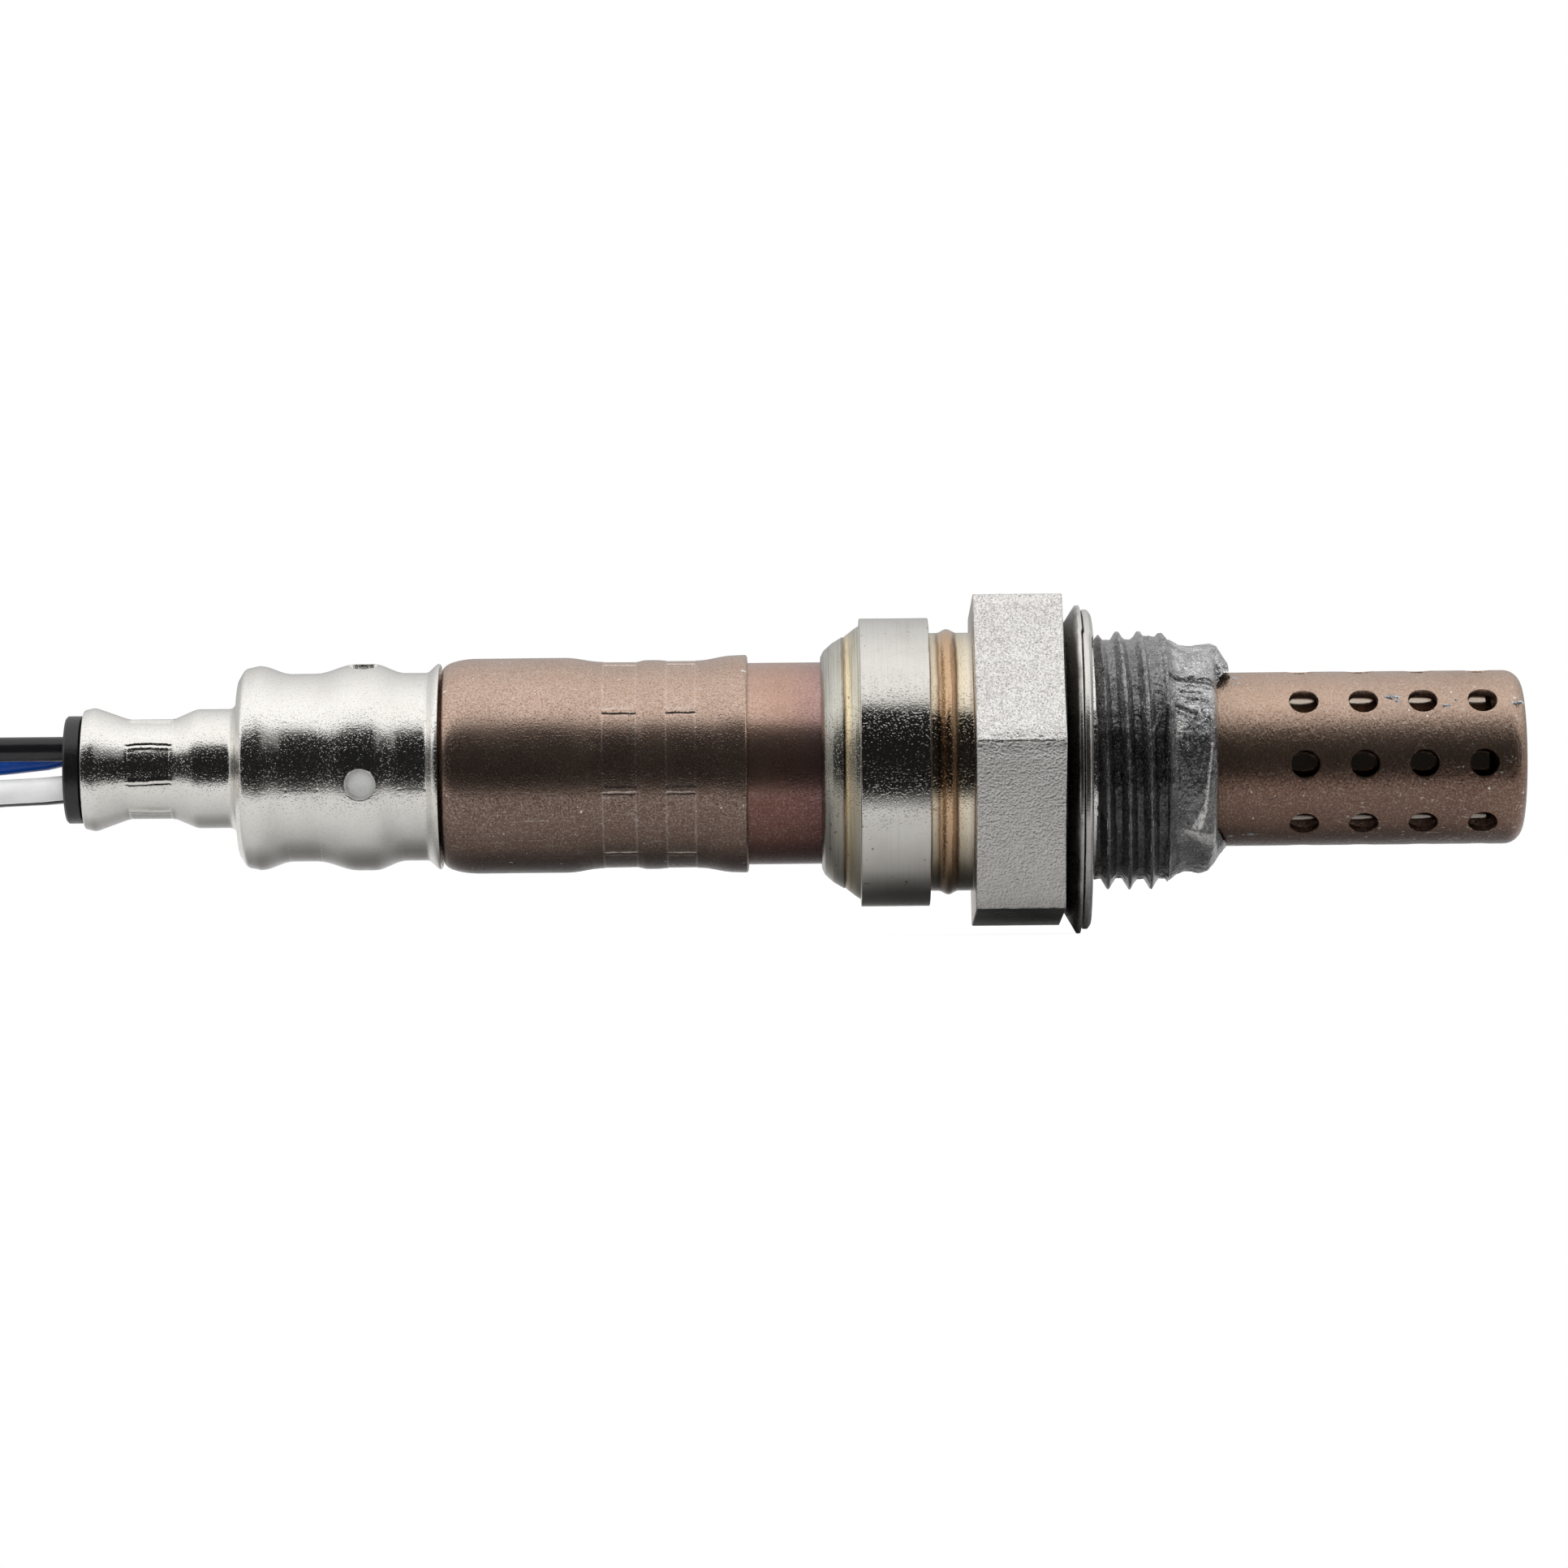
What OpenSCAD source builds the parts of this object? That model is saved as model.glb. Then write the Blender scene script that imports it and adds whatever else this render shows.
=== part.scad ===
/* [Thread and nose] */
// Crest diameter of the M18 thread
thread_d = 17.94; // [16:0.02:20]
// Length of the thread, undercut to nose
thread_len = 5.4; // [4:0.1:9]
// Diameter of the undercut that the gasket hangs in
undercut_d = 16.4; // [15:0.1:16.8]
// Length of the undercut that the thread leaves in front of the gasket's rear half
undercut_len = 2.05; // [1.6:0.05:2.1]
// Diameter of the plain nose in front of the thread
nose_d = 15.6; // [15.4:0.1:16.6]
// Length of the nose, thread to tip
nose_len = 3.2; // [3:0.1:6]
// Thickness of the edge that is rolled in over the protector's flange
nose_edge = 0.75; // [0.6:0.05:1.2]

/* [Hexagon and collar] */
// Wrench size across the flats
hex_af = 22; // [21:0.5:26]
// Length of the hexagon
hex_len = 6.2; // [5:0.1:10]
// Angle of one hexagon corner above the front
hex_turn = 6.35; // [-30:0.05:30]
// Diameter of the buckled groove behind the hexagon
groove_d = 18; // [17.6:0.1:19]
// Length of the groove
groove_len = 3.15; // [2.6:0.05:5]
// Diameter of the bead that stands in the groove
bead_d = 18.5; // [18.2:0.1:19.4]
// Width of the bead
bead_w = 1.7; // [1.2:0.1:2]
// Diameter of the collar
collar_d = 20.1; // [19.6:0.1:21.5]
// Length of the collar
collar_len = 4.8; // [3.6:0.1:8]
// Length of the lip that is rolled in behind the collar
lip_len = 2.7; // [2.4:0.1:3.4]

/* [Gasket] */
// Height of the folded gasket
gasket_t = 2.15; // [2.1:0.05:2.4]
// Diameter of the rear layer's rim
gasket_d = 22.9; // [22.6:0.1:24]
// How much smaller in diameter the gasket's front fold is than its rim
gasket_step = 0.5; // [0.3:0.1:0.8]
// Smallest diameter of the inner fold
gasket_bore = 17.6; // [17.2:0.1:17.8]
// Thickness of the gasket's sheet
gasket_sheet = 0.45; // [0.35:0.05:0.5]

/* [Protector] */
// Distance of the outer protector's closed end from the sealing face
protector_reach = 29.8; // [26:0.1:40]
// Outside diameter of the outer protector
outer_d = 12.1; // [11:0.1:12.6]
// Sheet thickness of the outer protector
outer_wall = 0.5; // [0.4:0.05:0.6]
// Corner radius of the closed end
outer_round = 1.25; // [0.8:0.05:1.6]
// Diameter of the flange that the nose holds
flange_d = 14; // [13.6:0.1:14.2]
// Diameter of the gas holes
hole_d = 2; // [1.2:0.1:2.6]
// Gas holes in each ring
holes_round = 8; // [6:1:10]
// Rings of gas holes
hole_rings = 4; // [2:1:4]
// Spacing of the rings of holes
hole_pitch = 4.12; // [3.4:0.02:4.4]
// Distance of the last ring of holes from the closed end
hole_last = 3.05; // [2.6:0.05:4.5]
// Angle of one row of holes above the front
hole_turn = -4; // [-22:0.5:22]
// Outside diameter of the inner protector
inner_d = 8.8; // [8.2:0.1:9.2]
// Sheet thickness of the inner protector
inner_wall = 0.4; // [0.3:0.05:0.5]
// Space between the two closed ends
end_space = 1.1; // [0.8:0.1:2.4]
// Diameter of the inner protector's holes
inner_hole_d = 1.6; // [1:0.1:2]

/* [Cases] */
// Outside diameter of the lower case
lower_d = 14.06; // [13.8:0.02:14.2]
// Length of the lower case that shows between lip and upper case
lower_show = 5.1; // [3:0.1:9]
// Sheet thickness of both cases
case_wall = 0.4; // [0.3:0.05:0.45]
// Outside diameter of the upper case
upper_d = 15; // [15:0.05:15.6]
// Length of the upper case, open end to shoulder
upper_len = 21.2; // [21:0.1:28]
// Length of the upper case's rounded shoulder
shoulder_len = 2.4; // [1.6:0.1:3]
// Height of the rounding on the shoulder
shoulder_rise = 0.8; // [0.5:0.05:1]
// Diameter of the upper case's flared open end
flare_d = 15.16; // [15.1:0.02:15.9]
// Distance of the crimp bands' ends from the open end: front band
band_front = [3.6, 5.6];
// Distance of the crimp bands' ends from the open end: rear band
band_rear = [7.7, 10.1];
// Diameter of the pads in the front band
band_front_d = 14.46; // [14.3:0.02:14.6]
// Diameter of the pads in the rear band
band_rear_d = 14.34; // [14.3:0.02:14.6]
// Angle of one seam between two crimp pads above the front
band_turn = 31; // [0:1:44]
// Length of the rear tube behind the shoulder
rear_len = 13.4; // [12.6:0.1:13.6]

/* [Filter cover] */
// Sheet thickness of the filter cover
cover_wall = 0.4; // [0.3:0.05:0.5]
// Diameter of the two crimped grooves
crimp_d = 13.06; // [13:0.02:13.2]
// Height of the front bulge and of the skirt above the crimped grooves
front_rise = 0.67; // [0.4:0.01:0.9]
// Height of the rear bulge above the crimped grooves
rear_rise = 0.59; // [0.4:0.01:0.8]
// Diameter of the neck
neck_d = 8.3; // [8.1:0.1:8.8]
// Diameter of the waist that is crimped on the grommet
waist_d = 7; // [6.8:0.1:7.4]
// Diameter of the flared mouth
mouth_d = 8.6; // [8.4:0.1:9.2]
// Diameter of the vent holes
vent_d = 2.2; // [1.6:0.1:2.6]
// Distance of the vent holes from the edge of the skirt
vent_at = 5.5; // [5:0.1:7]
// Angle of one vent hole above the front
vent_turn = -10; // [-40:1:40]
// Thickness of the filter sleeve
filter_t = 0.5; // [0.4:0.05:0.5]

/* [Grommet and leads] */
// Diameter of the grommet's end flange
grommet_d = 7.5; // [7.2:0.1:8.4]
// Thickness of the grommet's end flange
grommet_flange = 1.2; // [0.8:0.1:2]
// Diameter of each lead
lead_d = 1.7; // [1.4:0.05:1.8]
// Radius of the circle that the leads pass the grommet on
lead_pitch = 1.9; // [1.8:0.05:2]
// Angle of the first lead above the front
lead_turn = 50; // [46:1:64]

/* [Inside] */
// Distance of the element's seat behind the sealing face
seat_depth = 5.2; // [4.6:0.1:6]
// Diameter of the bore through thread and nose
front_bore = 9.8; // [9.4:0.1:10]
// Diameter of the bore around the element's flange
middle_bore = 12.6; // [12.2:0.1:13]
// Diameter of the bore around powder and insulating ring
rear_bore = 15.2; // [15:0.1:15.4]
// Thickness of the packing washer
washer_t = 0.4; // [0.3:0.05:0.6]
// Length of the element's flange
collar_seat = 5; // [4.5:0.1:5.6]
// Diameter of the element behind its flange
element_d = 7.4; // [7:0.1:7.6]
// Diameter of the element at its tip
tip_d = 4.8; // [4.4:0.1:5.4]
// Diameter of the element's blind bore
element_bore = 3.5; // [3.4:0.05:3.8]
// Diameter of the heater rod
heater_d = 3; // [2.6:0.05:3]
// Length of the insulating ring
ring_len = 2.7; // [2:0.1:3]
// Thickness of the clamping ring
clamp_t = 0.6; // [0.4:0.05:0.8]
// Thickness of the stamped contacts
strip_t = 0.25; // [0.2:0.05:0.3]
// Width of the contact strips
strip_w = 1.4; // [1:0.1:1.5]
// Radius of the circle of the terminal insulator's bores
bore_pitch = 3.4; // [3.3:0.05:3.5]
// Diameter of the terminal insulator's bores
terminal_bore = 2.6; // [2.4:0.05:2.7]

/* [Harness] */
// Diameter of the woven sleeve
sleeve_d = 5; // [5:0.1:5]
// Diameter of the shrink band over the sleeve's end
shrink_d = 6.6; // [6.2:0.1:7]
// Width of the tie around the hank
tie_w = 3.6; // [2:0.1:6]
// Thickness of the tie
tie_t = 0.6; // [0.4:0.1:1]
// Length of the connector's shell
plug_len = 30; // [28:0.5:31]
// Width of the connector's shell
plug_w = 18; // [17:0.5:19]
// Height of the connector's shell
plug_h = 15; // [15:0.5:17]
// Length of the connector's rear cover
cover_len = 6; // [5:0.5:8]
// Spacing of the four sockets
socket_pitch = 5.4; // [5:0.1:6]

/* [Hidden] */
$fn = 96;
// Clearance of drawn sheets that slide into each other
fit = 0.05;
// Clearance of pieces that are dropped in
loose = 0.1;
// How far the inner contact reaches into the element
contact_depth = 8;
// How far the jaws' ridges end before the pads' edges
ridge_end = 0.05;
// Clearance between the vent filter and the cover's crimped grooves
filter_gap = 0.03;
// How far the hexagon's corners are taken down at the gasket's end
hex_corner_cut = 0.4;

// Places along the axis; the gasket's sealing face is at 0 and the tip points to +X
thread_x0 = undercut_len - gasket_t;
thread_x1 = thread_x0 + thread_len;
nose_x = thread_x1 + nose_len;
hex_x1 = -gasket_t;
hex_x0 = hex_x1 - hex_len;
collar_x1 = hex_x0 - groove_len;
collar_x0 = collar_x1 - collar_len;
lip_x = collar_x0 - lip_len;
upper_x1 = lip_x - lower_show;
skirt_x = upper_x1 - upper_len;
rear_x = skirt_x - rear_len;
lower_x0 = upper_x1 - band_rear[1] - 1.8;

// Places along the filter cover, measured from the edge of its skirt
groove_front = [1.3, 2.6];
groove_rear = [9, 10.4];
front_bulge_at = [4.9, 6];
rear_bulge_at = 12.8;
step_at = 14.2;
neck_at = [14.7, 17.4];
waist_at = [19, 22.1];
flare_at = 24.2;
mouth_at = 24.95;
mouth_x = skirt_x - mouth_at;
skirt_gap = 0.15;
cover_turn = 29;
groove_turn = 29.5;

// Both bulges of the filter cover rise from its crimped grooves
bulge_d = crimp_d + 2 * front_rise;
rear_bulge_d = crimp_d + 2 * rear_rise;

// Rear tube: it fills the cover's crimped grooves, with the vent filter between them
rear_d = crimp_d - 2 * (cover_wall + filter_t + filter_gap);

// Gasket: it hangs until its bore touches the top of the undercut
gasket_drop = (gasket_bore - undercut_d) / 2;
floor_z = -gasket_d / 2 - gasket_drop;
gasket_face_d = thread_d + 2 * gasket_drop + 0.4;
gasket_front_d = gasket_d - gasket_step;

// Nose: both flanges lie one behind the other under the rolled edge
flange_x1 = nose_x - nose_edge;
inner_flange_x1 = flange_x1 - outer_wall;
recess_x = inner_flange_x1 - inner_wall;
inner_end_x = protector_reach - outer_wall - end_space;

// Inside: what is stacked up in the housing's bore, from the seat to the lip
washer_x = -seat_depth;
element_seat_x = washer_x - washer_t;
element_flange_x = element_seat_x - collar_seat;
bore_step_x = element_seat_x - collar_seat / 2;
case_flange_x = collar_x0 + case_wall;
clamp_x = case_flange_x + clamp_t;
ring_x = clamp_x + ring_len;
element_x0 = lip_x - 1;
tip_x = inner_end_x - inner_wall - 2.2;
heater_x1 = tip_x - 5;

// Terminals: insulator, contacts and the ends of the leads
insulator_x1 = upper_x1 - 3;
insulator_x0 = skirt_x + 1.9;
heater_x0 = insulator_x1 - 3;
crimp_x = insulator_x1 - 10;
lead_x = insulator_x1 - 14.9;
lead_angles = [for (i = [0:3]) lead_turn + 90 * i];
grommet_x = mouth_x - 0.15 - grommet_flange;
grommet_x1 = rear_x + 7;

// Leads: stations of the bundle's middle along X, each with its share of the way down to the
// shrink band and the leads' pitch radius
band_z = floor_z + shrink_d / 2;
lead_stations = [for (s = [
    [-45, 0, 3.4], [-48, 0, 2.8], [-52, 0, 1.9], [-58, 0, 1.9], [-65, 0, 1.9],
    [-71.6, 0, 1.9], [-76, 0, 1.9], [-80, 0.034, 1.9], [-84, 0.137, 1.8], [-88, 0.297, 1.7],
    [-92, 0.503, 1.6], [-96, 0.709, 1.4], [-100, 0.869, 1.3], [-104, 0.971, 1.2], [-109, 1, 1.2]
]) [s[0], s[1] * band_z, s[2]]];
// Shrink band: both ends along X
band_x = [-118, -108];
band_recess = 1;
// Sleeve: it swings out around the hank's front fold and in again to the connector. Each route
// point's last number is its share of the way up to the shrink band's or the connector's middle
fold_x = -153;
rear_fold_x = -210;
lane = 15;
outer_lane = 20;
lane_shift = 2.5;
sleeve_z = floor_z + sleeve_d / 2;
plug_z = floor_z + plug_h / 2;
run_route = [for (p = [
    [-118, 0, 1], [-121, 0, 0.69], [-125, 0.4, 0.19], [-129, 2.1, 0],
    [-132.5, 5, 0], [-134.9, 8.6, 0], [-138, 13.3, 0], [-142.5, 17.1, 0],
    [-147.5, 19.3, 0], [-153, 20, 0]
]) [p[0], p[1], sleeve_z + p[2] * (band_z - sleeve_z)]];
tail_x = -158;
tail_route = [for (p = [
    [-158, 15, 0], [-162, 14.5, 0.01], [-166, 13.0, 0.09], [-169.5, 10.6, 0.27],
    [-173, 7.6, 0.53], [-177, 4.8, 0.79], [-181, 3.1, 0.95], [-185, 2.5, 1], [-188, 2.5, 1]
]) [p[0], p[1], sleeve_z + p[2] * (plug_z - sleeve_z)]];
tie_x = -157.6;

// Connector: it lies inside the hank with its mating face to the rear
plug_y = 2.5;
cover_x = -184;
seal_x = cover_x - 4;
shell_x1 = cover_x - cover_len;
shell_x0 = shell_x1 - plug_len;
seal_len = 5;
plug_round = 2;
socket_r = 1.2;

// Turns children so that their Z axis lies along +X
module along_axis() {
    rotate([0, 90, 0]) children();
}

// Turns children from the front to an angle above the front
module at_angle(angle) {
    rotate([-angle, 0, 0]) children();
}

// A solid of revolution: each point is [place along the axis, radius]
module turned(points) {
    along_axis() rotate_extrude() polygon([for (p = points) [p[1], p[0]]]);
}

// A part of a solid of revolution, centred on the front
module turned_sector(points, width) {
    along_axis() rotate([0, 0, -90 - width / 2])
        rotate_extrude(angle = width) polygon([for (p = points) [p[1], p[0]]]);
}

// The four corners of a ring's section
function ring_section(x0, x1, r0, r1) = [[x0, r0], [x1, r0], [x1, r1], [x0, r1]];

// A plain ring between two places and two radii
module ring(x0, x1, r0, r1) {
    turned(ring_section(x0, x1, r0, r1));
}

// A radial hole through the wall at radius r, at the front
module radial_hole(x, d, r) {
    reach = 1.5;
    translate([x, reach - r, 0]) rotate([90, 0, 0]) cylinder(d = d, h = 2 * reach, $fn = 32);
}

// Points of an arc around [x, r], from one angle to another
function arc(x, r, radius, a0, a1, steps) =
    [for (i = [0:steps]) let (a = a0 + (a1 - a0) * i / steps) [x + radius * cos(a), r + radius * sin(a)]];

// Points of a soft step from one radius to another
function blend(x0, r0, x1, r1, steps = 5) =
    [for (i = [0:steps]) [x0 + (x1 - x0) * i / steps, r0 + (r1 - r0) * (1 - cos(180 * i / steps)) / 2]];

// The outline without points that repeat the one before
function cleaned(path) =
    [for (i = [0:len(path) - 1]) if (i == 0 || norm(path[i] - path[max(i - 1, 0)]) > 0.001) path[i]];

function unit(v) = v / norm(v);
function right_of(v) = [v[1], -v[0]] / norm(v);

// The outline moved inward by the sheet's thickness
function inset(path, wall) =
    let (last = len(path) - 1)
    [for (i = [0:last])
        let (before = right_of(path[max(i, 1)] - path[max(i, 1) - 1]),
             after = right_of(path[min(i, last - 1) + 1] - path[min(i, last - 1)]))
        path[i] + wall * (before + after) / (1 + before * after)];

function reversed(path) = [for (i = [len(path) - 1:-1:0]) path[i]];

// A drawn sheet of even thickness: the path is its outside, read towards +X
module drawn(path, wall) {
    clean = cleaned(path);
    turned(concat(clean, reversed(inset(clean, wall))));
}

// Ridges that the eight jaws of a crimping tool leave between their pads
module jaw_ridges(x0, x1, r0, r1, turn, width = 0.45) {
    for (i = [0:7]) at_angle(turn + 45 * i)
        turned_sector(ring_section(x0 + ridge_end, x1 - ridge_end, r0 - 0.2, r1), width * 180 / PI / r1);
}

// A round tube swept along a route, with flat ends across it
module swept(route, radius, sides = 8) {
    last = len(route) - 1;
    points = [for (i = [0:last])
        let (ahead = unit(route[min(i + 1, last)] - route[max(i - 1, 0)]),
             flat = (i == 0 || i == last) ? [ahead[0] > 0 ? 1 : -1, 0, 0] : ahead,
             side = unit(cross(flat, [0, 0, 1])),
             up = cross(side, flat))
        for (k = [0:sides - 1])
            route[i] + radius * (cos(360 * k / sides) * side + sin(360 * k / sides) * up)];
    walls = [for (i = [0:last - 1], k = [0:sides - 1])
        let (a = i * sides + k, b = i * sides + (k + 1) % sides)
        each [[a, a + sides, b], [b, a + sides, b + sides]]];
    polyhedron(points, concat(walls, [[for (k = [0:sides - 1]) k]],
        [[for (k = [sides - 1:-1:0]) last * sides + k]]), convexity = 6);
}

// A flat plate with round corners, centred
module round_plate(w, h, r) {
    square([w - 2 * r, h], center = true);
    square([w, h - 2 * r], center = true);
    for (x = [-1, 1], y = [-1, 1])
        translate([x * (w / 2 - r), y * (h / 2 - r)]) circle(r, $fn = 32);
}

// The housing's outside without its hexagon: nose, thread, undercut, groove, collar and lip
module housing_body() {
    thread_r = thread_d / 2;
    nose_r = nose_d / 2;
    groove_r = groove_d / 2;
    collar_r = collar_d / 2;
    mouth_r = lower_d / 2 + loose;
    bead_x = (hex_x0 + collar_x1) / 2 - 0.25;
    edge = 0.15;
    turned(concat([
        [lip_x, 0], [lip_x, mouth_r + 0.15], [lip_x + 0.3, collar_r - 2.05],
        [lip_x + 0.8, collar_r - 1.7], [lip_x + 1.6, collar_r - 1.25],
        [collar_x0 - 0.4, collar_r - 0.75], [collar_x0, collar_r - edge],
        [collar_x0 + edge, collar_r], [collar_x1 - edge, collar_r],
        [collar_x1, collar_r - edge], [collar_x1, groove_r]],
        blend(bead_x - bead_w / 2, groove_r, bead_x, bead_d / 2, 4),
        blend(bead_x, bead_d / 2, bead_x + bead_w / 2, groove_r, 4), [
        [hex_x0, groove_r], [hex_x1, groove_r], [hex_x1, undercut_d / 2],
        [thread_x0, undercut_d / 2], [thread_x0, thread_r], [thread_x1, thread_r],
        [thread_x1 + (thread_r - nose_r) * 0.6, nose_r], [nose_x - nose_edge, nose_r],
        [nose_x - nose_edge * 0.45, nose_r - 0.4], [nose_x - 0.1, nose_r - 0.95],
        [nose_x, nose_r - 1.15], [nose_x, 0]]));
}

// A bar that takes a corner of the hexagon down by depth, with a plane at 45 degrees
module corner_bar(x, depth) {
    side = depth * sqrt(2);
    translate([x, -hex_af / sqrt(3), 0]) rotate([0, 0, 45]) cube([side, side, hex_len], center = true);
}

// The wrench hexagon, with its corners taken down a little at both ends
module wrench_hexagon() {
    difference() {
        at_angle(hex_turn) translate([hex_x0, 0, 0]) along_axis() rotate([0, 0, 30])
            cylinder(r = hex_af / sqrt(3), h = hex_len, $fn = 6);
        for (k = [0:5]) at_angle(hex_turn + 60 * k) {
            corner_bar(hex_x0, hex_corner_cut / 2);
            corner_bar(hex_x1, hex_corner_cut);
        }
    }
}

// The stepped bore: recess for the protectors, seat, powder space and lip
module housing_bore() {
    recess_r = flange_d / 2 + fit;
    mouth_r = lower_d / 2 + loose;
    case_seat_r = mouth_r + 1.3;
    turned([[nose_x + 1, 0], [nose_x + 1, outer_d / 2 + loose], [flange_x1, outer_d / 2 + loose],
        [flange_x1, recess_r], [recess_x, recess_r], [recess_x, front_bore / 2],
        [washer_x, front_bore / 2], [washer_x, middle_bore / 2],
        [bore_step_x, middle_bore / 2], [bore_step_x, rear_bore / 2],
        [case_flange_x, rear_bore / 2], [case_flange_x, case_seat_r], [collar_x0, case_seat_r],
        [collar_x0 - 1.3, mouth_r], [lip_x - 1, mouth_r], [lip_x - 1, 0]]);
}

// Forged steel housing with thread, hexagon, buckled groove, collar and rolled lip
module housing() {
    color([0.72, 0.71, 0.69]) difference() {
        union() {
            housing_body();
            wrench_hexagon();
        }
        housing_bore();
    }
}

// Folded steel gasket, captive in the undercut
module gasket() {
    bore_r = gasket_bore / 2;
    rim_r = gasket_d / 2;
    front_r = gasket_front_d / 2;
    face_r = gasket_face_d / 2;
    slit_x = -0.75;
    slit = 0.12;
    fold_r = face_r + gasket_sheet / 3;
    fold_w = rim_r - fold_r;
    edge = min(0.45, (front_r - face_r) / 2);
    color([0.66, 0.66, 0.65]) translate([0, 0, -gasket_drop]) turned([
        [-gasket_t, bore_r + 0.4], [-gasket_t, rim_r - 0.88 * fold_w], [-1.15, rim_r],
        [slit_x - slit, rim_r], [slit_x - slit, rim_r - fold_w / 3],
        [-gasket_t + gasket_sheet + 0.1, fold_r + fold_w / 4], [-gasket_t + gasket_sheet, fold_r],
        [slit_x, fold_r], [slit_x, front_r], [-0.25, front_r - edge / 9], [-0.08, front_r - edge * 0.4],
        [0, front_r - edge], [0, face_r], [-0.35, face_r - 0.1], [-0.7, bore_r],
        [-gasket_t + 0.35, bore_r]]);
}

// Places of the rings of holes in the outer protector
function hole_places() = [for (i = [0:hole_rings - 1]) protector_reach - hole_last - hole_pitch * i];

// Deep-drawn outer protector with its rings of gas holes
module outer_protector() {
    r = outer_d / 2;
    color([0.42, 0.33, 0.26]) difference() {
        drawn(concat([[flange_x1, flange_d / 2], [flange_x1, r]],
            arc(protector_reach - outer_round, r - outer_round, outer_round, 90, 0, 5),
            [[protector_reach, 0]]), outer_wall);
        for (x = hole_places(), i = [0:holes_round - 1])
            at_angle(hole_turn + 360 / holes_round * i) radial_hole(x, hole_d, r);
    }
}

// Deep-drawn inner protector, with holes that stand between the outer ones
module inner_protector() {
    r = inner_d / 2;
    round_r = 1;
    turn = hole_turn + 180 / holes_round;
    color([0.40, 0.31, 0.24]) difference() {
        drawn(concat([[inner_flange_x1, flange_d / 2], [inner_flange_x1, r]],
            arc(inner_end_x - round_r, r - round_r, round_r, 90, 0, 4),
            [[inner_end_x, 0]]), inner_wall);
        for (i = [0:hole_rings - 2], k = [0:holes_round - 1])
            at_angle(turn + 360 / holes_round * k)
                radial_hole(hole_places()[i] - hole_pitch / 2, inner_hole_d, r);
    }
}

// Soft metal washer between the element and its seat
module packing_washer() {
    color([0.75, 0.72, 0.62])
        ring(element_seat_x, washer_x, front_bore / 2 + loose, middle_bore / 2 - loose);
}

// Radius of the element's flange
function element_flange_r() = middle_bore / 2 - loose;

// Ceramic thimble, closed at the tip, with a flange that seats in the housing
module sensing_element() {
    tip_r = tip_d / 2;
    bore_r = element_bore / 2;
    rear_r = element_d / 2;
    front_r = (tip_r + rear_r) / 2;
    color([0.90, 0.89, 0.86]) turned(concat([
        [element_x0, bore_r], [element_x0, rear_r],
        [element_flange_x - 1, rear_r], [element_flange_x, element_flange_r()],
        [element_seat_x, element_flange_r()], [element_seat_x, front_r]],
        arc(tip_x - tip_r, 0, tip_r, 90, 0, 6),
        reversed(arc(heater_x1 + 1, 0, bore_r, 90, 0, 5))));
}

// Pressed talc that seals the element in the housing
module powder_seal() {
    rear_r = element_d / 2;
    color([0.86, 0.84, 0.78]) turned([
        [ring_x, rear_r], [element_flange_x - 1, rear_r], [element_flange_x, element_flange_r()],
        [bore_step_x, element_flange_r()], [bore_step_x, rear_bore / 2], [ring_x, rear_bore / 2]]);
}

// Ceramic ring that presses on the powder
module insulating_ring() {
    color([0.93, 0.91, 0.86])
        ring(clamp_x, ring_x, element_d / 2 + loose, rear_bore / 2 - loose);
}

// Steel ring between the insulating ring and the lower case's flange
module clamping_ring() {
    color([0.60, 0.60, 0.60])
        ring(case_flange_x, clamp_x, element_d / 2 + 0.5, rear_bore / 2 - loose);
}

// Outline of a crimped band: down to the pads and up again, wider by a margin at both ends
function band(x0, x1, r_rear, r_pad, r_front, margin) = concat(
    blend(x0 - 0.7 - margin, r_rear, x0 - margin, r_pad, 4),
    blend(x1 + margin, r_pad, x1 + 0.7 + margin, r_front, 4));

// Both bands of the cases, with the outside radii at the pads and between them
function both_bands(r_rear, r_pad_rear, r_between, r_pad_front, r_front, margin = 0) = concat(
    band(upper_x1 - band_rear[1], upper_x1 - band_rear[0], r_rear, r_pad_rear, r_between, margin),
    band(upper_x1 - band_front[1], upper_x1 - band_front[0], r_between, r_pad_front, r_front, margin));

// Lower case: a drawn tube whose flange is held under the housing's lip
module lower_case() {
    r = lower_d / 2;
    under = case_wall + 2 * fit;
    color([0.42, 0.27, 0.24]) drawn(concat([[lower_x0, r]],
        both_bands(r, band_rear_d / 2 - under, (band_rear_d + band_front_d) / 4 - under + 0.06,
            band_front_d / 2 - under, r, 0.25),
        [[collar_x0, r], [collar_x0, r + 1.3]]), case_wall);
}

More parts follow.
